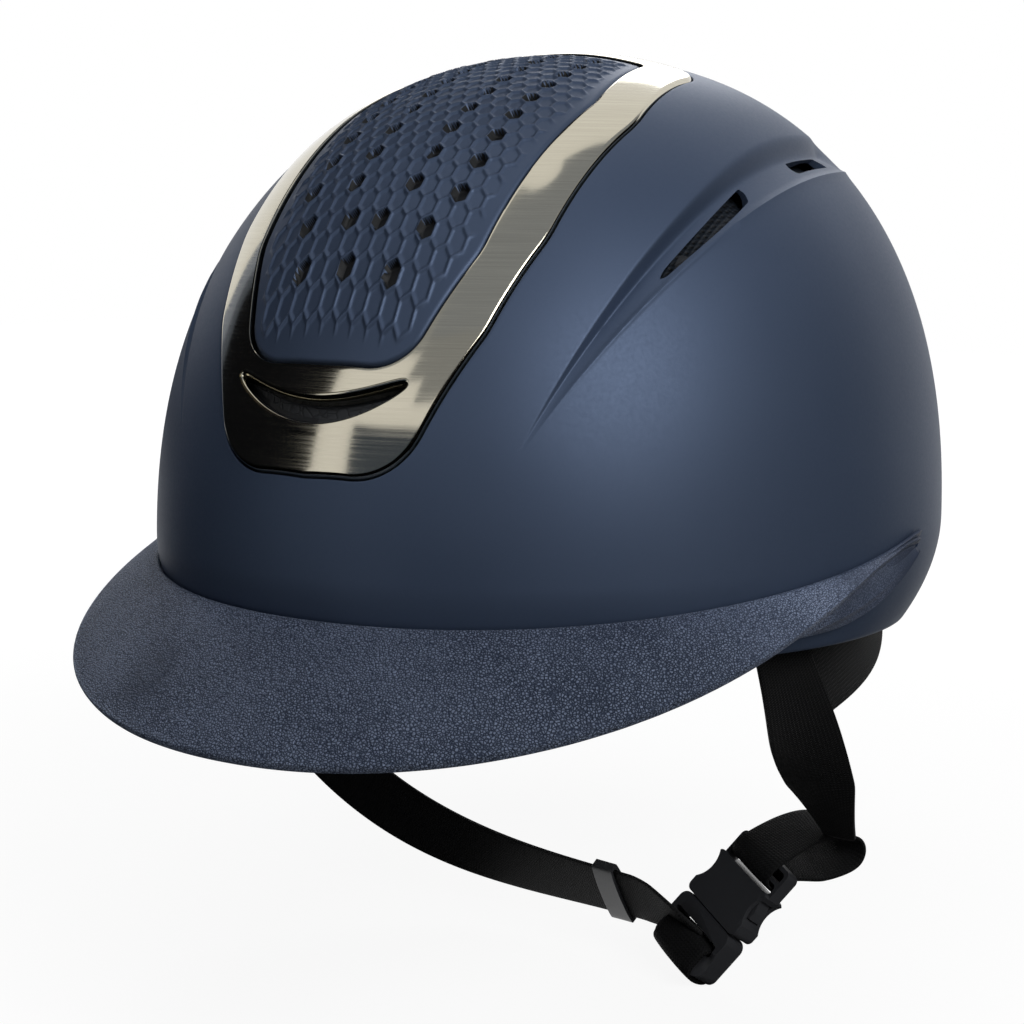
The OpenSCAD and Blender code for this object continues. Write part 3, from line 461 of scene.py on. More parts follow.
def shellGrid():
    # columns run from the crown's opening to the rim on planes through the chart's axis, along rays at
    # cos psi x axis + sin psi x the column's side
    n, e, gap = shellSet["columns"], shellSet["edgeRound"], trim["gap"]
    flat, normal = hullOutline(trimDiscs, n)
    edge = [throughCrown(flat + normal * gap, dome["wall"])]
    edge += [throughCrown(flat + normal * (gap + e * s), e * c) for c, s in quarter(90, 60, 30)]
    d = throughCrown(flat + normal * (gap + e), 0) - chartAt
    first = np.arccos(np.clip((d @ viewOut) / np.linalg.norm(d, axis=1), -1, 1))
    side = unit(d - (d @ viewOut)[:, None] * viewOut)

    def ray(psi):
        # unit directions of the columns at the angle psi from the axis
        return np.cos(psi)[..., None] * viewOut + np.sin(psi)[..., None] * side
    low, high = first + 0.05, np.full(n, math.radians(160))
    for _ in range(30):     # the rim is found by halving too
        mid = (low + high) / 2
        p = hitDome(chartAt, ray(mid), 0)
        above = p[:, 2] > rimZ(np.arctan2(p[:, 0], -(p[:, 1] - setBack(p[:, 2])))) + shellSet["rimRound"]
        low, high = np.where(above, mid, low), np.where(above, high, mid)
    span = low - first

    def borderShare(which):
        # where each column meets a border of the flute, as a share of its length
        t = np.linspace(24, 127, 300)
        border = onDome(np.radians(t), fluteEdge(which, t)) - chartAt
        tilt = np.arccos((border @ viewOut) / np.linalg.norm(border, axis=1))
        heading = np.arctan2(border[:, 0], border @ viewUp)
        order = np.argsort(heading)
        own = np.arctan2(np.abs(side[:, 0]), side @ viewUp)
        return (np.interp(own, heading[order], tilt[order]) - first) / span
    upper = np.clip(borderShare("soft"), 0.05, 0.8)
    lower = np.clip(borderShare("crisp"), upper + 0.06, 0.9)
    a, b, c = (shellSet[k] for k in ("aboveRows", "fluteRows", "belowRows"))
    v = np.concatenate([np.linspace(0 * upper, upper, a, endpoint=False),
                        np.linspace(upper, lower, b, endpoint=False), np.linspace(lower, 1 + 0 * lower, c)])
    outer = hitDome(chartAt, ray(first + span * v), 0)
    outer = outer - domeNormal(outer) * fluteDent(outer)[..., None]
    t = np.arctan2(outer[-1, :, 0], -outer[-1, :, 1])
    rr, wall = shellSet["rimRound"], dome["wall"]
    rim = [onDome(t, rimZ(t) + rr * s, rr * c) for c, s in quarter(25, 50, 70, 90)]
    rim += [onDome(t, rimZ(t) + rr * s, wall - rr * c) for c, s in quarter(90, 60, 30, 0)]
    v = np.linspace(1, 0, shellSet["innerRows"])[1:]
    inner = hitDome(chartAt, ray(first + span * v[:, None]), wall)
    inner = inner - domeNormal(inner, wall) * fluteDent(inner)[..., None]
    return np.concatenate([np.stack(edge), outer, np.stack(rim), inner])


def slotBar(which, outerLift, innerLift, grow=0.0, n=52, k=9):
    # a bar through a slot, n sections front to back (share s): each lies between two shares of the flute's
    # height, less at both ends by a quarter circle
    first, last = shellSet["slots"][which]
    s = np.linspace(0, 1, n)
    t = first - grow * 0.5 + (last - first + grow) * s
    high, low = fluteEdge("soft", t), fluteEdge("crisp", t)
    upper, lower = (0.71 - 0.25 * s, 0.87 + 0.06 * np.sin(np.pi * s) - 0.08 * s * s) if which == 0 \
        else (0.46, 0.78)
    top, bottom = high - (high - low) * upper + grow, high - (high - low) * lower - grow
    fullness = bulge(s / 0.07, 0.02) * bulge((1 - s) / 0.04, 0.05)
    a = np.linspace(-1, 1, k)
    z = ((top + bottom) / 2)[:, None] + ((top - bottom) / 2 * fullness)[:, None] * a
    p = onDome(np.radians(t)[:, None], z)
    normal, dent = domeNormal(p), fluteDent(p)[..., None]
    return np.concatenate([p + normal * (outerLift - dent), (p + normal * (innerLift - dent))[:, ::-1]], axis=1)


shell = makePiece("shellSkin", shellGrid(), shellPlastic, closeRows=True)
for which, part in ((0, "front"), (1, "rear")):
    for side, hand in ((1, "left"), (-1, "right")):
        cutAway(shell, makePiece("slotCutter", slotBar(which, 6, -7) * [side, 1, 1], shellPlastic))
        sheet = makePiece("gauze" + part.title() + hand.title(), slotBar(which, -4.6, -5.4, 1.8) * [side, 1, 1],
                          gauzeNylon)
        dress(sheet, "helmet", "black_plastic", "side_mesh_" + part + "_" + hand)
dress(shell, "helmet", "shell", "outer_shell")

print("trim ring")
trimSet = dict(columns=640, across=30, edge=0.5, crownRise=0.15, slotHalf=24.0, slotGap=4.2, slotLow=-60.5,
               slotLift=8.0, slotLip=1.0, lipFace=-0.72, lipDeep=2.2, lipRoll=1.3)
crownCentre = np.array([0.0, 8.0])
outerLine = hullOutline(trimDiscs, trimSet["columns"])[0]
d = outerLine - crownCentre
innerLine = polarOutline(hullOutline(panelDiscs, 1600)[0], crownCentre, np.arctan2(d[:, 1], d[:, 0]))


def trimGrid():
    # each column crosses the ring from its outer edge to its inner one: quarter circles at the corners and
    # a face that rises by a half sine
    e, proud, seat = trimSet["edge"], trim["proud"], trim["seat"] - 0.05
    across = innerLine - outerLine
    width = np.linalg.norm(across, axis=1, keepdims=True)
    across /= width
    corner = [(e * c, -proud + e * s) for c, s in quarter(0, 30, 60, 90)]
    rows = [throughCrown(outerLine, seat)]
    rows += [throughCrown(outerLine + across * shift, inset) for shift, inset in corner]
    rows += [throughCrown(outerLine + across * (e + (width - 2 * e) * u),
                          -proud - trimSet["crownRise"] * math.sin(math.pi * u))
             for u in np.linspace(0, 1, trimSet["across"])[1:-1]]
    rows += [throughCrown(innerLine - across * shift, inset) for shift, inset in corner[::-1]]
    return np.stack(rows + [throughCrown(innerLine, seat)])


def slotOutline(grow):
    # the front slot, a lens whose middle rises by the square of the share of its length; it grows along
    # its normals
    a = fullTurn(160)
    x = (trimSet["slotHalf"] + 0.4) * np.cos(a)
    gap = trimSet["slotGap"] / 2
    middle = trimSet["slotLow"] + trimSet["slotLift"] * (x / trimSet["slotHalf"]) ** 2 + gap
    line = np.stack([x, middle + np.sin(a) * (gap + 0.35)], -1)
    tangent = np.roll(line, -1, axis=0) - np.roll(line, 1, axis=0)
    return line + unit(np.stack([tangent[:, 1], -tangent[:, 0]], -1)) * grow


ring = makePiece("trimRing", trimGrid(), trimChrome, closeRows=True)
lip, face, deep = (trimSet[k] for k in ("slotLip", "lipFace", "lipDeep"))
# the slot is cut by a prism that stands on its outline, from 60 to 190 mm along the view
base = inSpace(slotOutline(lip))
cutAway(ring, makePiece("slotPrism", np.stack([base + viewOut * 60, base + viewOut * 190]), trimChrome))
# its lip rolls over from the ring's face into the opening
rows = [throughCrown(slotOutline(lip), deep), throughCrown(slotOutline(lip), face),
        throughCrown(slotOutline(lip * 0.82), face)]
rows += [throughCrown(slotOutline(lip * 0.8 * s), face + trimSet["lipRoll"] * c)
         for c, s in quarter(20, 40, 60, 80, 90)]
rows += [throughCrown(slotOutline(0), deep)]
dress(ring, "helmet", "trim", "vent_trim")
dress(makePiece("slotLip", np.stack(rows), trimChrome, closeRows=True), "helmet", "trim")

print("crown panel")
panelSet = dict(rows=390, columns=205, backColumns=12, thick=2.0, edge=1.5, cellX=4.45, cellY=4.25,
                firstRow=-112.5, ridge=0.55, ridgeWidth=0.36, ventR=1.95, ventDeep=1.8, ventRim=0.75)


def hexRadius(dx, dy):
    # the radius of the hexagon through a point: the greater of |dx| and |dx| / 2 + |dy| x root 3/4
    return np.maximum(np.abs(dx), 0.5 * np.abs(dx) + math.sqrt(0.75) * np.abs(dy))


def hexEdge(x, y):
    # distance to the nearest wall of a lattice of hexagons: half a cell less the radius, and the greater of
    # the values for odd and even rows
    px, py = panelSet["cellX"], panelSet["cellY"]
    best = np.full(x.shape, -1e9)
    for shift in (0, 1):
        row = np.round((y / py - shift) / 2) * 2 + shift
        col = np.round(x / px - 0.5 * shift) + 0.5 * shift
        best = np.maximum(best, px / 2 - hexRadius(x - col * px, (y - row * py) * (px * math.sqrt(0.75) / py)))
    return best


def ventInside(x, y):
    # how far inside a vent hole a point is, seen from straight above: the vent's radius less the point's
    p = panelSet
    best = np.full(x.shape, -1e9)
    for row in range(11):
        dy = y - p["firstRow"] - 2 * row * p["cellY"]
        for c in {0: (0, 3), 1: (1, 4)}.get(row, (2, 5)):       # cells from the middle, on both sides
            best = np.maximum(best, p["ventR"] - hexRadius(np.abs(x) - c * p["cellX"], dy))
    return best


def panelGrid():
    # rows across the outline, over the face and back underneath. The face is lifted by a bell curve of the
    # distance to the lattice's walls, rolled off by a quarter circle at the outline, and pressed in at vents
    outline = hullOutline(panelDiscs, 2400, -trim["gap"])[0]
    right = outline[outline[:, 0] >= 0]
    right = right[np.argsort(right[:, 1])]
    bottom, top = outline[:, 1].min(), outline[:, 1].max()
    ends = np.concatenate([[0, 0.0006, 0.002, 0.004, 0.007], np.linspace(0.0105, 0.9895, panelSet["rows"] - 10),
                           [0.993, 0.996, 0.998, 0.9994, 1]])
    s = bottom + (top - bottom) * ends
    halfW = np.interp(s, right[:, 1], right[:, 0])
    halfW[0] = right[np.abs(right[:, 1] - bottom) < 0.02, 0].max()
    halfW[-1] = max(0.5, right[np.abs(right[:, 1] - top) < 0.02, 0].max())
    u = np.concatenate([[0, 0.0012, 0.004, 0.008], np.linspace(0.013, 0.987, panelSet["columns"] - 8),
                        [0.992, 0.996, 0.9988, 1]]) * 2 - 1

    def across(u):
        # points of the view's plane at shares u of the half width
        return np.stack(np.broadcast_arrays(u[None, :] * halfW[:, None], s[:, None]), -1)
    face = throughCrown(across(u), -0.1)
    flat = across(u).reshape(-1, 2)
    away = np.full(len(flat), 1e9)      # distance to the outline's every sixth chord, in the view's plane
    for a, b in zip(outline[::6], np.roll(outline, -6, axis=0)[::6]):
        ab = b - a
        f = np.clip(((flat - a) @ ab) / (ab @ ab), 0, 1)
        away = np.minimum(away, np.linalg.norm(flat - a - f[:, None] * ab, axis=1))
    away = away.reshape(face.shape[:2])
    x, y = face[..., 0], face[..., 1]
    ridge = panelSet["ridge"] * np.exp(-(hexEdge(x, y - panelSet["firstRow"]) / panelSet["ridgeWidth"]) ** 2)
    ridge *= ease((away - 2.6) / 2.2) * ease((y + 121.5) / 2.5)
    e = panelSet["edge"]
    roll = e * (1 - bulge(away / e))
    inside = ventInside(x, y)
    vent = ease((inside + 0.1) / 0.24)
    # each vent stands in a rim a little higher than the lattice
    ridge = np.maximum(ridge, panelSet["ventRim"] * np.exp(-((inside + 0.3) / 0.32) ** 2))
    normal = domeNormal(face)
    face = face + normal * (ridge * (1 - vent) - roll)[..., None] \
        - viewOut * (vent * panelSet["ventDeep"] / (normal @ viewOut))[..., None]
    back = throughCrown(across(np.linspace(1, -1, panelSet["backColumns"])), panelSet["thick"])
    # the second value marks the vents' insides, which get painted shade
    return np.concatenate([face, back], axis=1), ease((inside + 0.02) / 0.12)


grid, ventShadeMask = panelGrid()
rows, cols = grid.shape[:2]
panel = makePiece("crownPanel", grid, panelPlastic)
# the bottoms of the vents get painted shade: quads whose corners are deep enough on average take the near-black
# vent shade material
panel.data.materials.append(ventShadeNylon)
# deep holds that painted-shade mask over the whole grid
deep = np.zeros((rows, cols))
deep[:, :ventShadeMask.shape[1]] = ventShadeMask
ventShadeFace = deep.ravel()[gridFaces(rows, cols, False, True)].mean(axis=1) > 0.3
index = np.zeros(len(panel.data.polygons), dtype=np.int32)
index[:len(ventShadeFace)] = ventShadeFace
panel.data.polygons.foreach_set("material_index", index)
dress(panel, "helmet", "panel", "crown_panel")

print("peak")
peakSet = dict(reach=33, drop=31, lip=2.8, seamFront=-5.5, seamTail=6.7, wrap=93, edge=1.8, rings=280,
               around=190, wall=1.6)


def peakGrid():
    # each ring is the section at a heading t: seam edge, top face, rolled lip, underside, inner face. The
    # seam rises by 1 - cos t, the lip by |sin t| to the power 2.2, and the reach falls by cos t squared
    p, gap = peakSet, trim["gap"]
    t = np.radians(np.linspace(-p["wrap"], p["wrap"], p["rings"]))
    a = np.abs(t)
    top = p["seamFront"] + (p["seamTail"] - p["seamFront"]) * (1 - np.cos(t))
    wrap = -dome["rimFront"] + 0.5 + (dome["rimFront"] + 0.5) * (np.maximum(0, np.degrees(a) - 66) / 27) ** 2
    low = np.minimum(wrap, top - 3)
    lip = np.minimum(top - 0.9, -p["drop"] + (p["drop"] + p["seamTail"] - 1.5) * np.abs(np.sin(t)) ** 2.2)
    reach = domeR(t, 0 * t, 0) + p["edge"] - 0.3
    reach = reach + (p["reach"] - p["edge"]) * np.cos(np.minimum(np.pi / 2, a)) ** 2
    rTop, rLow = domeR(t, top, 0), domeR(t, low, 0) + p["wall"]
    lipLow = np.minimum(lip - 0.6, np.maximum(lip - p["lip"], np.minimum(lip - p["lip"], low + 6)))
    outR = rTop + p["edge"]
    keys = [(rTop + gap, top), (rTop + gap + 0.4 * (outR - rTop), top + 0.1)]
    keys += [(outR + (reach - 0.3 - outR) * k, top + (lip - top) * k * (0.72 + 0.28 * k))
             for k in np.linspace(0, 1, 9)]
    # a small bead stands along the lip's upper edge, and the lip's face below it leans in
    keys += [(reach + 0.1, lip + 0.25 * np.cos(t) ** 2), (reach + 0.4, lip - 0.1),
             (reach - 0.3, lip + (lipLow - lip) * 0.45), (reach - 1.2, lip + (lipLow - lip) * 0.8),
             (reach - 2.1, lipLow)]
    midR, midZ = rLow + (reach - rLow + p["wall"] - 2) * 0.5, lipLow + (low - lipLow) * 0.62
    keys += [((reach - 2.1 + midR) / 2, (lipLow + midZ) / 2 + 0.8), (midR, midZ),
             ((midR + rLow) / 2, (midZ + low) / 2 + 0.3), (rLow, low), (rLow - p["wall"] + gap, low),
             (domeR(t, (top + low) / 2, 0) + gap, (top + low) / 2)]
    closed = np.stack([np.stack([r, z], -1) for r, z in keys + keys[:1]])       # key, ring, (r, z)
    along = np.cumsum(np.linalg.norm(np.diff(closed, axis=0, prepend=closed[:1]), axis=2), axis=0)
    ring = np.empty((p["around"], len(t), 2))
    for i in range(len(t)):     # the points are spread evenly round each section
        at = np.linspace(0, along[-1, i], p["around"], endpoint=False)
        for k in (0, 1):
            ring[:, i, k] = np.interp(at, along[:, i], closed[:, i, k])
    for _ in range(3):          # the corners are rounded by averaging neighbours
        ring = (np.roll(ring, 1, axis=0) + 2 * ring + np.roll(ring, -1, axis=0)) / 4
    r, z = ring[..., 0], ring[..., 1]
    return turned(r, t, z).transpose(1, 0, 2)


dress(makePiece("peakWedge", peakGrid(), peakGrain), "helmet", "peak", "peak")

print("liner")
linerSet = dict(inset=22, gap=0.4, lift=2.2, columns=240, rows=70, outerRows=30, channel=5.0, channelHalf=3.6,
                channelAt=(0, 30, -30), binding=1.7)


def linerGrid():
    # rings of the dome: the inner skin down to the edge, then the outer skin. At share k of the way up the
    # level goes straight from the edge to the base over 0.15, then by a power of a sine to the top
    t = fullTurn(linerSet["columns"])
    edge, base, inset = rimZ(t) + linerSet["lift"], dome["base"], linerSet["inset"]

    def level(k, top):
        # the height of the ring at share k
        if k < 0.15:
            return edge + (base - edge) * k / 0.15
        return 0 * t + base + (top - base) * math.sin(math.pi / 2 * (k - 0.15) / 0.85) ** (2 / dome["rise"])
    rows, outer, top = [], [], dome["crown"] - inset
    for k in np.linspace(0, 1, linerSet["rows"] + 1)[:-1]:
        p = onDome(t, level(k, top), inset, dome["innerTuck"])
        # three air channels run front to back, each a flat-topped bell curve of x
        groove = sum(np.exp(-((p[:, 0] - x) / linerSet["channelHalf"]) ** 4) for x in linerSet["channelAt"])
        groove = linerSet["channel"] * np.minimum(1, groove) * ease((p[:, 2] - 30) / 30)
        rows.append(p + domeNormal(p, inset) * groove[:, None])
    rows.append(np.tile([0, setBack(top), top + linerSet["channel"]], (len(t), 1)))
    inset = dome["wall"] + linerSet["gap"]
    for k in np.linspace(0, 1, linerSet["outerRows"]):
        p = onDome(t, level(k, dome["crown"] - inset - 4), inset + 2.5 * float(k > 0.5))
        # it follows the shell's flutes
        outer.append(p - domeNormal(p) * (3.4 * np.maximum(0, fluteDent(p)) ** 0.5)[:, None])
    return np.stack(rows[::-1] + outer)


dress(makePiece("foamLiner", linerGrid(), foam, caps=(False, True)), "helmet", "foam", "eps_liner")


def bindingGrid():
    # a soft rolled section round the liner's edge: cos to the power 0.35 across, sin to the power 0.6 high
    t = fullTurn(360)
    top = rimZ(t) + linerSet["lift"] - 0.2
    outR = domeR(t, top, dome["wall"] + linerSet["gap"] + 0.2)
    inR = domeR(t, top, linerSet["inset"], dome["innerTuck"])
    a = fullTurn(28)[:, None]
    r = (outR + inR) / 2 + (outR - inR) / 2 * np.sign(np.cos(a)) * np.abs(np.cos(a)) ** 0.35
    z = top - linerSet["binding"] * (0.5 - 0.5 * np.sign(np.sin(a)) * np.abs(np.sin(a)) ** 0.6)
    return np.stack([r * np.sin(t), -r * np.cos(t), z], -1)


dress(makePiece("rimBinding", bindingGrid(), bindingVinyl, closeRows=True), "helmet", "binding", "rim_binding")

print("pads")
padSet = dict(thick=6.5, thin=0.8, seat=1.1, channel=0.42)


def padGrid(tFrom, tTo, zLow, zHigh, tufts, rings, across=44):
    # each ring is a section: a face that swells by (1 - |2u - 1|^3)^0.5 x (1 - |2v - 1|^2.6)^0.5, with seams
    # (bell curves) where the sine of the tufts is 0, and a flat back
    u, v = np.meshgrid(np.linspace(0, 1, rings), np.linspace(0, 1, across), indexing="ij")
    swell = np.maximum(0, 1 - np.abs(2 * u - 1) ** 3) ** 0.5
    swell = swell * np.maximum(0, 1 - np.abs(2 * v - 1) ** 2.6) ** 0.5
    tuft = 1 - padSet["channel"] * np.exp(-(np.sin(np.pi * tufts * u) / 0.13) ** 2)
    back, thin, tuck = linerSet["inset"] + padSet["seat"], padSet["thin"], dome["innerTuck"]
    t, z = np.radians(tFrom + (tTo - tFrom) * u), zLow + (zHigh - zLow) * v
    face = onDome(t, z, back + thin + (padSet["thick"] - thin) * swell * tuft, tuck)
    return np.concatenate([face, onDome(t[:, ::-4], z[:, ::-4], back, tuck)], axis=1)


def crownPadGrid(n=160, m=36):
    # a four-lobed cushion, radius 50 x (1 + 0.16 cos 4t), as rings from its middle above, round the edge, to
    # its middle below; a sewn ring and four seams are bell curves
    t = fullTurn(n)
    lobes = 50 * (1 + 0.16 * np.cos(4 * t))

    def place(s, thick):
        # a point at share s of the radius, its height from the dome's profile turned about
        r = lobes * s
        inset = linerSet["inset"] + 0.6 + padSet["thin"] + thick
        q = np.clip(1 - (r / (0.93 * planR(t, inset))) ** dome["narrow"], 0, 1)
        z = dome["base"] + (dome["crown"] - dome["base"] - inset) * q ** (1 / dome["rise"])
        return turned(r, t, z)
    rings = [place(s, 0) for s in np.linspace(0.02, 1, m)]
    for s in np.linspace(1, 0.02, m):
        plump = padSet["thin"] + (padSet["thick"] - 2 * padSet["thin"]) * math.sqrt(max(0, 1 - s ** 3)) \
            * (1 - 0.3 * math.exp(-((s - 0.45) / 0.05) ** 2))
        seam = 1 - 0.3 * np.exp(-(np.sin(2 * t) / 0.1) ** 2) * ease((s - 0.45) / 0.1)
        rings.append(place(s, plump * seam))
    return np.stack(rings)


sideGrid = padGrid(68, 112, 0, 44, 2, 120)
for name, node, grid in (("browPad", "brow_pad", padGrid(-60, 60, -9, 24, 4, 220)),
                         ("napePad", "nape_pad", padGrid(150, 210, 24, 58, 3, 140)),
                         ("sidePadLeft", "side_pad_left", sideGrid),
                         ("sidePadRight", "side_pad_right", sideGrid * [-1, 1, 1]),
                         ("crownPad", "crown_pad", crownPadGrid())):
    pad = dress(makePiece(name, grid, paddingKnit), "helmet", "padding", node)

print("straps")
strapSet = dict(width=20, thick=1.5)
buckleSet = dict(at=(53.6, 0, -114.4), turn=(53, 19, -30))
turn = [Matrix.Rotation(math.radians(a), 3, axis) for a, axis in zip(buckleSet["turn"], "XYZ")]
buckleTurn = np.array(turn[2] @ turn[1] @ turn[0])


def bucklePoint(*v):
    # a point of the buckle's own frame, turned and moved to its place
    return np.array(buckleSet["at"]) + buckleTurn @ np.array(v, dtype=float)


def bezier(p, s):
    # the cubic Bezier curve of four points at shares s, and its headings from its derivative
    p, r = np.array(p, dtype=float), 1 - s
    head = np.stack([r ** 2, 2 * r * s, s * s], -1) @ np.diff(p, axis=0)
    return np.stack([r ** 3, 3 * r ** 2 * s, 3 * r * s * s, s ** 3], -1) @ p, unit(head)


def closedCurve(points, n):
    # a closed Catmull-Rom curve through its points, and its headings from one point to the next but one
    points = np.array(points, dtype=float)
    s = np.arange(n) * len(points) / n
    i = np.floor(s).astype(int)
    f = (s - i)[:, None]
    a, b, c, d = (points[(i + k) % len(points)] for k in (-1, 0, 1, 2))
    place = (2 * b + (c - a) * f + (2 * a - 5 * b + 4 * c - d) * f ** 2 + (3 * b - a - 3 * c + d) * f ** 3) / 2
    return place, unit(np.roll(place, -1, axis=0) - np.roll(place, 1, axis=0))


def webRings(place, head, across, width, thick, n=36, gather=1):
    # flat sections along a path, on the part of across that is square to the heading and on their cross
    # product: a clipped cosine wide, a sine to the power 0.55 thick; gather narrows them and its root
    # thickens them. Also the lengths round the edge
    w = unit(across - (across * head).sum(1, keepdims=True) * head)
    q = np.cross(head, w)
    a = fullTurn(n)
    x = width / 2 * np.clip(1.12 * np.cos(a), -1, 1) * 0.985 + 0.015 * width / 2 * np.cos(a)
    y = np.sign(np.sin(a)) * np.abs(np.sin(a)) ** 0.55 * thick / 2
    around = lengths(np.stack([np.append(x, x[0]), np.append(y, y[0])], -1))
    x, y = x[None, :, None], y[None, :, None]
    return place[:, None] + x * gather * w[:, None] + y / gather ** 0.5 * q[:, None], around


def sweepWeb(name, place, head, across, width, thick, closed=False):
    # webbing along a path, with its own measure along and round it as UV
    gather = (np.broadcast_to(width, len(place)) / strapSet["width"])[:, None, None]
    grid, around = webRings(place, head, across, strapSet["width"], thick, gather=gather)
    along = lengths(np.vstack([place, place[:1]]) if closed else place)
    return makePiece(name, grid, webbing, closeRows=closed, uv=gridUv(along, around))


def strap(name, paths, widths, steps=90):
    # Bezier stretches, each easing from its first across direction to its last; widths are (share, mm),
    # read between the shares and smoothed three times
    places, heads, acrosses = [], [], []
    for k, (points, first, last) in enumerate(paths):
        s = np.linspace(0, 1, steps)[0 if k == 0 else 1:]
        place, head = bezier(points, s)
        mix = ease(s)[:, None]
        places.append(place)
        heads.append(head)
        acrosses.append(np.array(first) * (1 - mix) + np.array(last) * mix)
    width = np.interp(np.linspace(0, 1, sum(map(len, places))), *zip(*widths))
    for _ in range(3):
        width[1:-1] = (width[:-2] + width[1:-1] + width[2:]) / 3
    return sweepWeb(name, *map(np.vstack, (places, heads, acrosses)), width, strapSet["thick"])


def midWall(degrees):
    # the middle of the wall on the rim at a heading: the mean of the outer and the inner radius
    t = math.radians(degrees)
    z = rimZ(t)
    r = (domeR(t, z, dome["wall"]) + domeR(t, z, linerSet["inset"], dome["innerTuck"])) / 2
    return np.array([r * math.sin(t), -r * math.cos(t), z])


def anchorAcross(degrees):
    # the level direction along the rim, from points 2 degrees each way
    d = midWall(degrees + 2) - midWall(degrees - 2)
    return unit(np.array([d[0], d[1], 0]))


# the straps' paths; the right ones are given as on the left and mirrored
plain = [(0, 20), (1, 20)]
frontRoot, rearRoot, rim = midWall(64), midWall(131), anchorAcross(64)
mirror = np.array([-1, 1, 1])
slant = np.array([-0.2, -0.5, 0.85])
frontLeft = [frontRoot + [0, 0, 2.8], frontRoot + [3, 12, -26], [84, 0, -68], [83.5, 21, -90]]
frontRight = [frontRoot + [0, 0, 2.8], frontRoot + [5, 3, -26], [102, -10, -67], [90, -6, -80]]
rearLeft = [rearRoot + [0, 0, 6], [84, 50, -37], [87, 8, -34], [81.6, -25, -40]]
rearRight = rearLeft[:3] + [[88.2, -31, -41]]
narrows = [(0, 20), (0.68, 20), (0.9, 13), (1, 10)]
for part, hand, side, path, first, last, widths in (
        ("front", "left", 1, frontLeft, rim, [0.86, 0.3, -0.36], narrows),
        ("rear", "left", 1, rearLeft, slant, [-0.3, -0.25, 0.9], plain),
        ("rear", "right", mirror, rearRight, slant, [-0.3, -0.25, 0.9], plain),
        ("front", "right", mirror, frontRight, rim, [0.68, -0.1, -0.73], plain)):
    path = (np.array(path) * side, first * side, np.array(last) * side)
    dress(strap(part + "Strap" + hand.title(), [path], widths), "helmet", "webbing", part + "_strap_" + hand)

chinPath = [[-89.8, -6, -80.2], [-57, 3, -115], [-15, 8, -114.5], [27, 0, -114]]
chinFrom, chinTo = np.array([0.68, 0.1, 0.73]), np.array([-0.05, -0.5, 0.85])
overPlug = [chinPath[3], [35.5, -1.7, -114.3], bucklePoint(-7, -8.5, 6), bucklePoint(1, -7.7, 0)]
chin = strap("chinStrap", [(chinPath, chinFrom, chinTo), (overPlug, chinTo, buckleTurn @ [0.5, 0.3, 0.8])],
             [(0, 20), (0.66, 20), (0.9, 13), (1, 9.5)])
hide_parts("chin_strap")
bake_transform(chin)

# the keeper, a moulded band round the two layers of webbing: an outer and an inner skin that are joined
share = np.linspace(0.9, 0.96, 14)
place, head = bezier(chinPath, share)
mix = ease(share)[:, None]
skins = [webRings(place, head, chinFrom * (1 - mix) + chinTo * mix, strapSet["width"] + grow,
                  strapSet["thick"] + grow, 48)[0] for grow in (3.4, 1.2)]
keeper = makePiece("strapKeeper", np.concatenate([skins[0], skins[1][::-1]]), buckleAcetal, closeRows=True)
keeper.data.set_sharp_from_angle(angle=math.radians(50))
dress(keeper, "plug", "black_plastic", "strap_keeper")

# the loop of webbing that joins the socket's bar to the straps; it narrows and turns by half a cosine
place, head = closedCurve([bucklePoint(0, 17.4, 0), bucklePoint(0, 18.8, 4.6), bucklePoint(0, 24, 5),
                           [71, 19, -90], [76.5, 25.5, -89.5], [82.5, 29, -92.5], [82, 27.5, -97.5],
                           [75.5, 20.5, -100], bucklePoint(0, 23.5, -5), bucklePoint(0, 18.5, -4.8)], 220)
mix = ((1 - np.cos(fullTurn(220))) / 2)[:, None]
loop = sweepWeb("buckleLoop", place, head, buckleTurn[:, 0] * (1 - mix) + np.array([0.84, -0.46, -0.28]) * mix,
                18 - 3 * mix[:, 0], 1.5, closed=True)
dress(loop, "helmet", "webbing", "buckle_loop")

# the chin strap's end, sewn round the plug's end bar
place, head = closedCurve([bucklePoint(0, y, z) for y, z in (
    (-7.8, 0), (-9, 4.6), (-13, 5.2), (-16.8, 4.5), (-17.9, 0), (-16.8, -4.5), (-13, -5.2), (-9, -4.6))], 120)
wrap = sweepWeb("plugWrap", place, head, np.tile(buckleTurn[:, 0], (120, 1)), 19, 2.6, closed=True)
dress(wrap, "plug", "webbing")

print("fittings")
# CAD nodes that keep their shape, by finish, with the radius in mm that their hard edges take
kept = ((buckleAcetal, dict(buckle_socket=0.5, buckle_plug=0.6, prong_left=0, prong_right=0,
                            adjuster_housing=0.4, adjuster_dial=0.35)),
        (fittingNylon, dict(front_louvre=0, temple_guide_left=0, temple_guide_right=0, adjuster_hanger=0,
                            adjuster_cover=0.3, band_left=0.3, band_right=0.3, anchor_front_left=0,
                            anchor_rear_left=0, anchor_front_right=0, anchor_rear_right=0)))
for material, nodes in kept:
    for name, radius in nodes.items():
        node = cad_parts[name]
        for slot in node.material_slots:
            slot.material = material
        if radius:      # the loose triangles are welded first
            node.modifiers.new("weld", "WELD").merge_threshold = 0.00001
            bevel = node.modifiers.new("bevel", "BEVEL")
            bevel.width, bevel.segments, bevel.harden_normals = radius * 0.001, 2, False
            bevel.limit_method, bevel.angle_limit = "ANGLE", math.radians(40)

print("camera and light")
view = dict(azimuth=30.62, elevation=8.75, roll=0.43, place=(-16.33, 3.697, 546.89), lens=62.92)


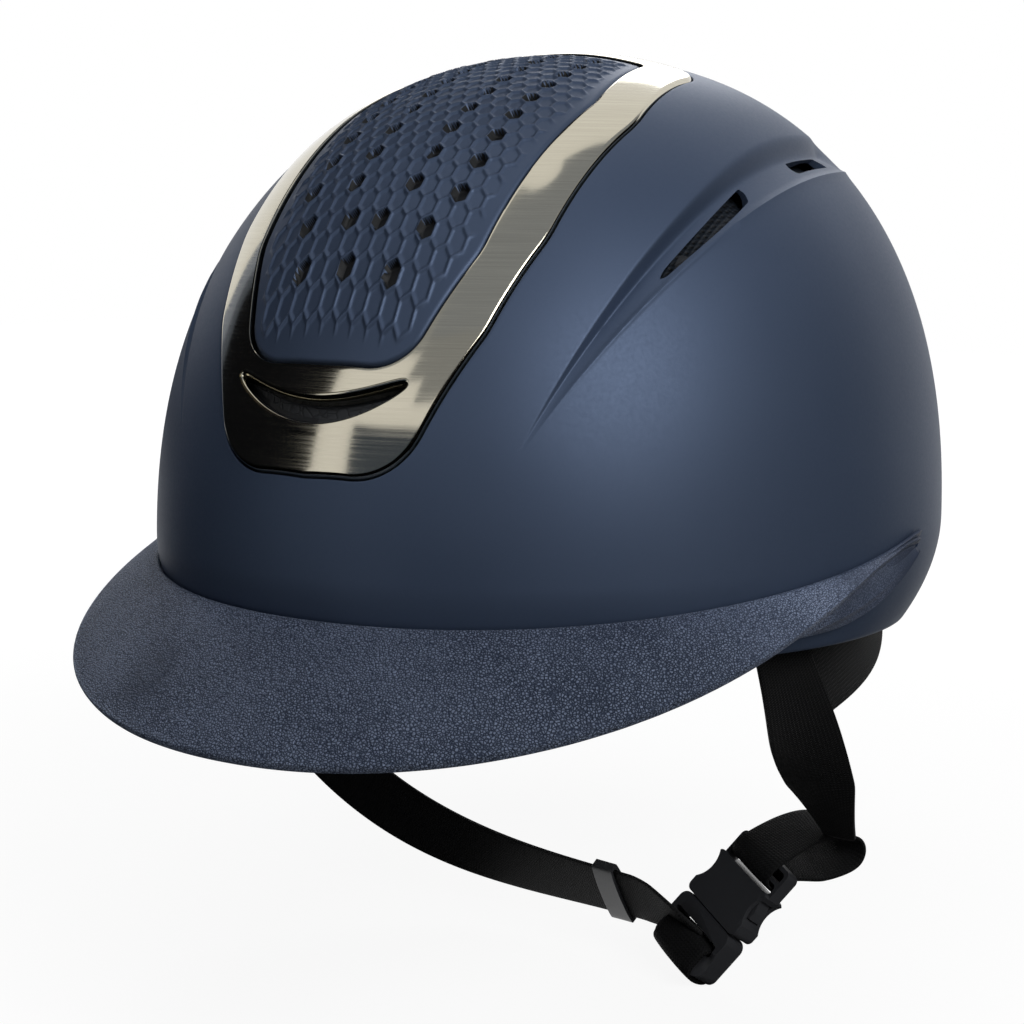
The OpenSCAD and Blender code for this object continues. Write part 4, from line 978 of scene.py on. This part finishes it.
def placeCamera():
    # turned by the azimuth about z, by a right angle less the elevation about x and by the roll about its own
    # axis; its place is given along its right, up and back, in mm
    az, el, roll = (math.radians(view[k]) for k in ("azimuth", "elevation", "roll"))
    turn = Matrix.Rotation(az, 4, "Z") @ Matrix.Rotation(math.pi / 2 - el, 4, "X")
    camera = bpy.data.objects.new("camera", bpy.data.cameras.new("camera"))
    camera.data.lens, camera.data.sensor_width = view["lens"], 36
    place = Matrix.Translation(Vector(view["place"]) * 0.001)
    camera.matrix_world = turn @ Matrix.Rotation(roll, 4, "Z") @ place
    scene.collection.objects.link(camera)
    scene.camera = camera


def backdrop(add):
    # 1 where the camera, a mirror or glass looks: the sum of three kinds of ray, clipped
    rays = add("LightPath").outputs
    seen = add("Math", [rays["Is Camera Ray"], rays["Is Glossy Ray"]], operation="ADD")
    return add("Math", [seen, rays["Is Transmission Ray"]], operation="ADD", use_clamp=True)


def whiteFloor():
    # a matt white floor whose glow takes over with the distance from the object, so that the far floor is
    # plain white; from below it isn't seen
    z = cadBox[0][2] * 1000 - 0.5
    grid = np.array([[[-3000, -3000, z], [3000, -3000, z]], [[-3000, 3000, z], [3000, 3000, z]]])

    def look(add, place):
        plain = add("BsdfDiffuse", {"Color": srgb("#f6f6f6")})
        glow = add("Emission", {"Color": (1, 1, 1, 1), "Strength": 1.06})
        away = add("VectorMath", [place], operation="LENGTH").outputs["Value"]
        fade = add("MapRange", [away, 0.2, 0.9, 0.86, 0.99])
        share = add("Math", [backdrop(add), fade], operation="MULTIPLY")
        mix = add("MixShader", [share, plain, glow])
        below = add("NewGeometry").outputs["Backfacing"]
        return add("MixShader", [below, mix, add("BsdfTransparent")])
    floor = makePiece("floor", grid, newMaterial("studio floor white", look), closeCols=False)
    if floor.data.polygons[0].normal.z < 0:
        floor.data.flip_normals()


placeCamera()
whiteFloor()
# the world is plain white to the camera and a dim, slightly blue fill to the rest
world = bpy.data.worlds.new("studio")
scene.world = world
world.use_nodes = True
world.node_tree.nodes.clear()
add = partial(addNode, world.node_tree)
low = add("Background", {"Color": (0.93, 0.96, 1.0, 1), "Strength": 0.045})
seen = add("Background", {"Color": (1, 1, 1, 1), "Strength": 1.0})
add("OutputWorld", {"Surface": add("MixShader", [backdrop(add), low, seen])})


def softbox(name, place, size, power, glossy=True, aim=(0, 0, 20)):
    # a rectangular lamp of size mm and power W, whose back points from the aim to its place
    lamp = bpy.data.lights.new(name, "AREA")
    lamp.shape, lamp.energy = "RECTANGLE", power
    lamp.size, lamp.size_y = size[0] * 0.001, size[1] * 0.001
    piece = bpy.data.objects.new(name, lamp)
    place, aim = Vector(place) * 0.001, Vector(aim) * 0.001
    piece.matrix_world = Matrix.Translation(place) @ (place - aim).to_track_quat("Z", "Y").to_matrix().to_4x4()
    piece.visible_glossy = glossy
    scene.collection.objects.link(piece)


softbox("key", (1130, -560, 760), (1000, 620), 10.5)
softbox("top", (100, -350, 1300), (800, 800), 4.1, glossy=False)
softbox("back", (-500, 900, 700), (700, 500), 3)


def flagCard(name, grid, grey):
    # a card that only gloss can see, with its own even glow
    paper = newMaterial(name + " paper", lambda add, place: add("Emission", {"Color": srgb(grey)}))
    card = makePiece(name, grid, paper, closeCols=False)
    card.visible_camera = card.visible_diffuse = card.visible_shadow = card.visible_transmission = False


# patches of a sphere 1.9 m round the object: headings from and to, heights from and to in degrees, grey
patches = ((-83, -33, -24, 60, "#101114"), (-88, -83, -24, 60, "#565d6b"), (-96, -88, -24, 60, "#8c94a6"),
           (-22, 8, -24, 19, "#4a525e"), (8, 155, -24, 16, "#0b0b0b"), (14, 155, 16, 28, "#101010"),
           (-33, -10, 38, 84, "#a3a6ab"), (-10, 155, 31, 42, "#9a9da2"), (-2, 155, 25, 31, "#9a9da2"),
           (-10, 155, 42, 84, "#959aa3"), (-150, -96, 32, 70, "#101114"), (-165, -96, -24, 8, "#101114"))
for letter, (a, b, c, d, grey) in zip("ABCDEFGHIJKL", patches):
    t, e = np.meshgrid(np.radians(np.linspace(a, b, 40)), np.radians(np.linspace(c, d, 16)), indexing="ij")
    flagCard("flagCard" + letter,
             1900 * np.stack([np.cos(e) * np.sin(t), -np.cos(e) * np.cos(t), np.sin(e)], -1), grey)
t, r = np.meshgrid(np.radians(np.linspace(-100, 160, 60)), np.array([30.0, 2000.0]), indexing="ij")
low = cadBox[0][2] * 1000 - 0.1
flagCard("floorCard", np.stack([r * np.sin(t), -r * np.cos(t), 0 * r + low], -1), "#030303")

scene.view_settings.view_transform = "Standard"
